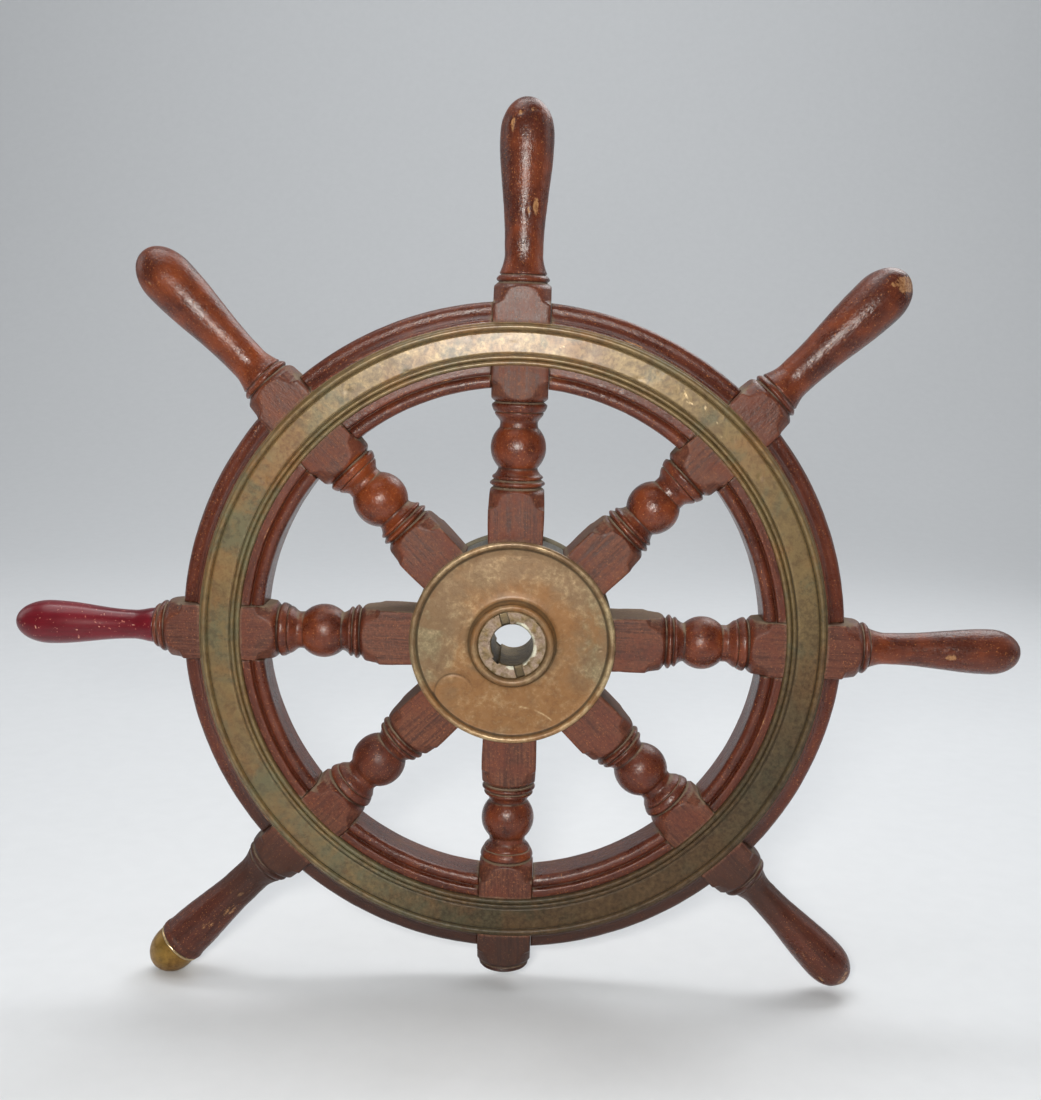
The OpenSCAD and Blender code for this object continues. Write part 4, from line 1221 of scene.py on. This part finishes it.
def screw_finish():
    """Tarnished brass of the slotted screws at the back."""
    f = Finish("screw_brass")
    where = f.place()
    cloud = f.noise(where, 300.0, 3.0, 0.6)
    speck = f.noise(where, 1500.0, 2.0, 0.6)
    body = f.blend(f.between(cloud, 0.35, 0.65), shade("brass_brown"), shade("brass"))
    f.bumps(speck, 0.0001, 0.6)
    return f.surface(base_color=body, metallic=0.9 - cloud * 0.3, roughness=0.35 + cloud * 0.25)


def finish_nodes(material, *nodes):
    """Give carried-over CAD nodes a procedural material."""
    for name in nodes:
        node = frame["nodes"][name]
        node.data.materials.clear()
        node.data.materials.append(material)


# Operators

class WHEEL_OT_spokes(bpy.types.Operator):
    """Turn the eight spokes, with whole, capped, mended and missing handles"""
    bl_idname = "wheel.spokes"
    bl_label = "Spokes"

    def execute(self, context):
        sizes = context.scene.wheel_sizes
        wood = wood_finish("spoke_wood", gloss=1.0, warm=0.6)
        rough_wood = wood_finish("rough_spoke_wood", gloss=0.35, warm=0.35)
        for k in range(1, SPOKES + 1):
            place(f"turned_spoke_{k}", spoke_mesh(k, sizes), rough_wood if k == CAPPED else wood,
                  [f"spoke_{k}"])
        return {'FINISHED'}


class WHEEL_OT_rim(bpy.types.Operator):
    """Mould the eight rim segments"""
    bl_idname = "wheel.rim"
    bl_label = "Rim"

    def execute(self, context):
        sizes = context.scene.wheel_sizes
        wood = wood_finish("rim_wood", gloss=0.9, warm=0.25)
        for k in range(1, SPOKES + 1):
            place(f"rim_segment_{k}", felloe_mesh(k, sizes), wood, [f"felloe_{k}"])
        finish_nodes(plain_wood_finish("dowel_wood", DOWEL_WOOD), "felloe_dowels", "red_handle_dowel")
        return {'FINISHED'}


class WHEEL_OT_rings(bpy.types.Operator):
    """Make the two brass rings and finish their screws"""
    bl_idname = "wheel.rings"
    bl_label = "Brass Rings"

    def execute(self, context):
        sizes = context.scene.wheel_sizes
        brass = brass_finish("ring_brass", shade("brass"), shade("brass_brown"), shade("verdigris"),
                             metal=0.40, polish=0.10, coat=0.72)
        for side, facing, seed in (("front", 1, 500), ("back", -1, 501)):
            name = f"facing_ring_{side}"
            place(name, ring_mesh(name, sizes, facing, seed), brass, [f"{side}_ring"])
        finish_nodes(screw_finish(), "ring_screws", "hub_screws")
        return {'FINISHED'}


class WHEEL_OT_hub(bpy.types.Operator):
    """Make the hub plates and the bush, and finish the nave"""
    bl_idname = "wheel.hub"
    bl_label = "Hub"

    def execute(self, context):
        sizes = context.scene.wheel_sizes
        brass = brass_finish("plate_brass", shade("plate"), shade("plate_orange"), PLATE_GREEN,
                             metal=0.35, polish=0.45, coat=0.35, mottle=0.65)
        for side, facing, seed in (("front", 1, 600), ("back", -1, 601)):
            name = f"hub_plate_{side}"
            place(name, plate_mesh(name, sizes, facing, seed), brass, [f"hub_{side}_plate"])
        place("shaft_bush", bush_mesh(), bush_finish(), ["bush"])
        finish_nodes(plain_wood_finish("nave_wood", NAVE_WOOD, 0.8), "hub_nave")
        return {'FINISHED'}


class WHEEL_OT_repairs(bpy.types.Operator):
    """Make the red replacement handle, the brass end cap and the snapped dowel"""
    bl_idname = "wheel.repairs"
    bl_label = "Repairs"

    def execute(self, context):
        sizes = context.scene.wheel_sizes
        place("red_replacement_handle", red_mesh(sizes), red_finish(), ["red_handle"])
        brass = brass_finish("cap_brass", CAP_BRASS, shade("brass_brown"), CAP_GREEN, metal=0.75, polish=0.1)
        place("handle_end_cap", cap_mesh(sizes), brass, ["end_cap"])
        place("snapped_dowel", snapped_dowel_mesh(), wood_finish("snapped_dowel_wood", gloss=0.0),
              ["stub_dowel"])
        return {'FINISHED'}


def area_light(name, place_at, aim, size, power, colour=(1, 1, 1), spread=180):
    """A soft rectangular light at a place, turned to face another. spread is its beam in degrees."""
    light = bpy.data.lights.new(name, 'AREA')
    light.shape, light.size, light.size_y = 'RECTANGLE', *size
    light.energy, light.color, light.spread = power, colour, math.radians(spread)
    lamp = bpy.data.objects.new(name, light)
    lamp.matrix_world = facing_matrix(place_at, aim)
    bpy.context.scene.collection.objects.link(lamp)


def facing_matrix(place_at, aim, roll=0.0):
    """A matrix at a place that looks along -Z towards aim, with Y up, rolled about the view."""
    eye, target = np.array(place_at, float), np.array(aim, float)
    back = eye - target
    back /= np.linalg.norm(back)
    right = np.cross([0, 0, 1], back)
    right /= np.linalg.norm(right)
    up = np.cross(back, right)
    matrix = Matrix([[right[i], up[i], back[i], eye[i]] for i in range(3)] + [[0, 0, 0, 1]])
    return matrix @ Matrix.Rotation(roll, 4, 'Z')


FLOOR_ROWS = 9
FLOOR_GAP = 0.0002                   # the floor lies this far under the wheel
FLOOR_GREYS = ((0.66, 0.68, 0.70), (0.70, 0.72, 0.74))
SKY_COLOUR, SKY_STRENGTH = (0.80, 0.82, 0.84, 1), 0.23
CAMERA_PLACE = (0.01386, -0.86513, 0.19721)
CAMERA_LOOK = (-0.010969, 0.981394, -0.191690)
CAMERA_SHIFT = 0.0405                # picture moved up, in frame widths
CAMERA_ROLL = 1.72                   # degrees
KEY_COLOUR = (1, 0.96, 0.90)
# softboxes: name, place, aim, size, share of the fill power, beam in degrees
SOFTBOXES = [
    ("overhead_softbox", (-0.5, -0.1, 1.9), (0, 0, -0.2), (1.4, 1.2), 1.0, 180),
    ("back_softbox", (0.9, 1.2, 1.5), (0, 0, 0), (1.2, 1.0), 0.6, 120),
    ("left_softbox", (-1.7, 0.35, 0.7), (0, 0, 0), (0.8, 1.2), 0.14, 120),
    ("right_softbox", (1.7, 0.35, 0.7), (0, 0, 0), (0.8, 1.2), 0.14, 120),
    ("sweep_softbox", (0.0, 1.0, 3.2), (0, 3.0, 0.6), (3.0, 1.0), 4.7, 180),
]


class WHEEL_OT_stage(bpy.types.Operator):
    """Lay the pale floor and set the lights and the camera"""
    bl_idname = "wheel.stage"
    bl_label = "Stage"

    def execute(self, context):
        scene, stage = context.scene, context.scene.wheel_stage
        ground = CAD_BOUNDS[0][2] - FLOOR_GAP
        bend = np.radians(np.linspace(0, 90, 25))
        run = np.concatenate([[-14.0, -2.0], 1.6 + 1.8 * np.sin(bend), [3.4]])
        rise = np.concatenate([[0.0, 0.0], 1.8 - 1.8 * np.cos(bend), [6.0]])
        side = np.linspace(-14, 14, FLOOR_ROWS)
        x, y = np.meshgrid(side, run, indexing="ij")
        points = np.stack([x, y, ground + rise + 0 * x], -1)
        mesh = bpy.data.meshes.new("floor")
        faces = grid_faces(FLOOR_ROWS, len(run), wrap_columns=False)
        mesh.from_pydata(points.reshape(-1, 3).tolist(), [], faces.tolist())
        mesh.shade_smooth()
        if mesh.polygons[0].normal.z < 0:
            mesh.flip_normals()
        f = Finish("pale_floor")
        grit = f.noise(f.place(), 60.0, 3.0, 0.5)
        f.bumps(grit, 0.0005, 0.1)
        mesh.materials.append(f.surface(base_color=f.blend(grit, *FLOOR_GREYS),
                                        roughness=0.8 + (grit - 0.5) * 0.1))
        floor = bpy.data.objects.new("floor", mesh)
        scene.collection.objects.link(floor)

        world = bpy.data.worlds.new("studio")
        world.use_nodes = True
        sky = world.node_tree.nodes["Background"]
        sky.inputs["Color"].default_value = SKY_COLOUR
        sky.inputs["Strength"].default_value = SKY_STRENGTH
        scene.world = world

        aim = np.add(CAMERA_PLACE, CAMERA_LOOK)
        camera_data = bpy.data.cameras.new("camera")
        camera_data.lens = stage.lens
        camera_data.shift_y = CAMERA_SHIFT
        camera = bpy.data.objects.new("camera", camera_data)
        camera.matrix_world = facing_matrix(CAMERA_PLACE, aim, math.radians(CAMERA_ROLL))
        scene.collection.objects.link(camera)
        scene.camera = camera
        area_light("key_softbox", (-0.05, -0.93, 0.26), (0, 0, 0.04), (0.13, 0.10), stage.key_power,
                   KEY_COLOUR, spread=140)
        for name, stand, aim, size, share, spread in SOFTBOXES:
            area_light(name, stand, aim, size, stage.fill_power * share, spread=spread)
        scene.view_settings.view_transform = 'Standard'
        return {'FINISHED'}


class WHEEL_PT_panel(bpy.types.Panel):
    """The wheel's pieces and settings"""
    bl_idname = "WHEEL_PT_panel"
    bl_label = "Ship's Steering Wheel"
    bl_space_type = 'VIEW_3D'
    bl_region_type = 'UI'
    bl_category = "Ship's Wheel"

    def draw(self, context):
        for group in (context.scene.wheel_sizes, context.scene.wheel_colours, context.scene.wheel_stage):
            box = self.layout.box()
            for key in group.__annotations__:
                box.prop(group, key)
        for step in STEPS:
            self.layout.operator(step.bl_idname)


STEPS = (WHEEL_OT_stage, WHEEL_OT_spokes, WHEEL_OT_rim, WHEEL_OT_rings, WHEEL_OT_hub, WHEEL_OT_repairs)
GROUPS = {"wheel_sizes": WheelSizes, "wheel_colours": WheelColours, "wheel_stage": WheelStage}


def register():
    """Add the classes and hang the settings on the scene."""
    for item in (*GROUPS.values(), *STEPS, WHEEL_PT_panel):
        bpy.utils.register_class(item)
    for key, group in GROUPS.items():
        setattr(bpy.types.Scene, key, PointerProperty(type=group))


def unregister():
    """Take the settings and classes away again."""
    for key in GROUPS:
        delattr(bpy.types.Scene, key)
    for item in reversed((*GROUPS.values(), *STEPS, WHEEL_PT_panel)):
        bpy.utils.unregister_class(item)


def main():
    """Register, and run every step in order."""
    register()
    for step in STEPS:
        group, name = step.bl_idname.split(".")
        if getattr(getattr(bpy.ops, group), name)() != {'FINISHED'}:
            raise RuntimeError(f"{step.bl_label} did not finish")


if __name__ == "__main__":
    main()
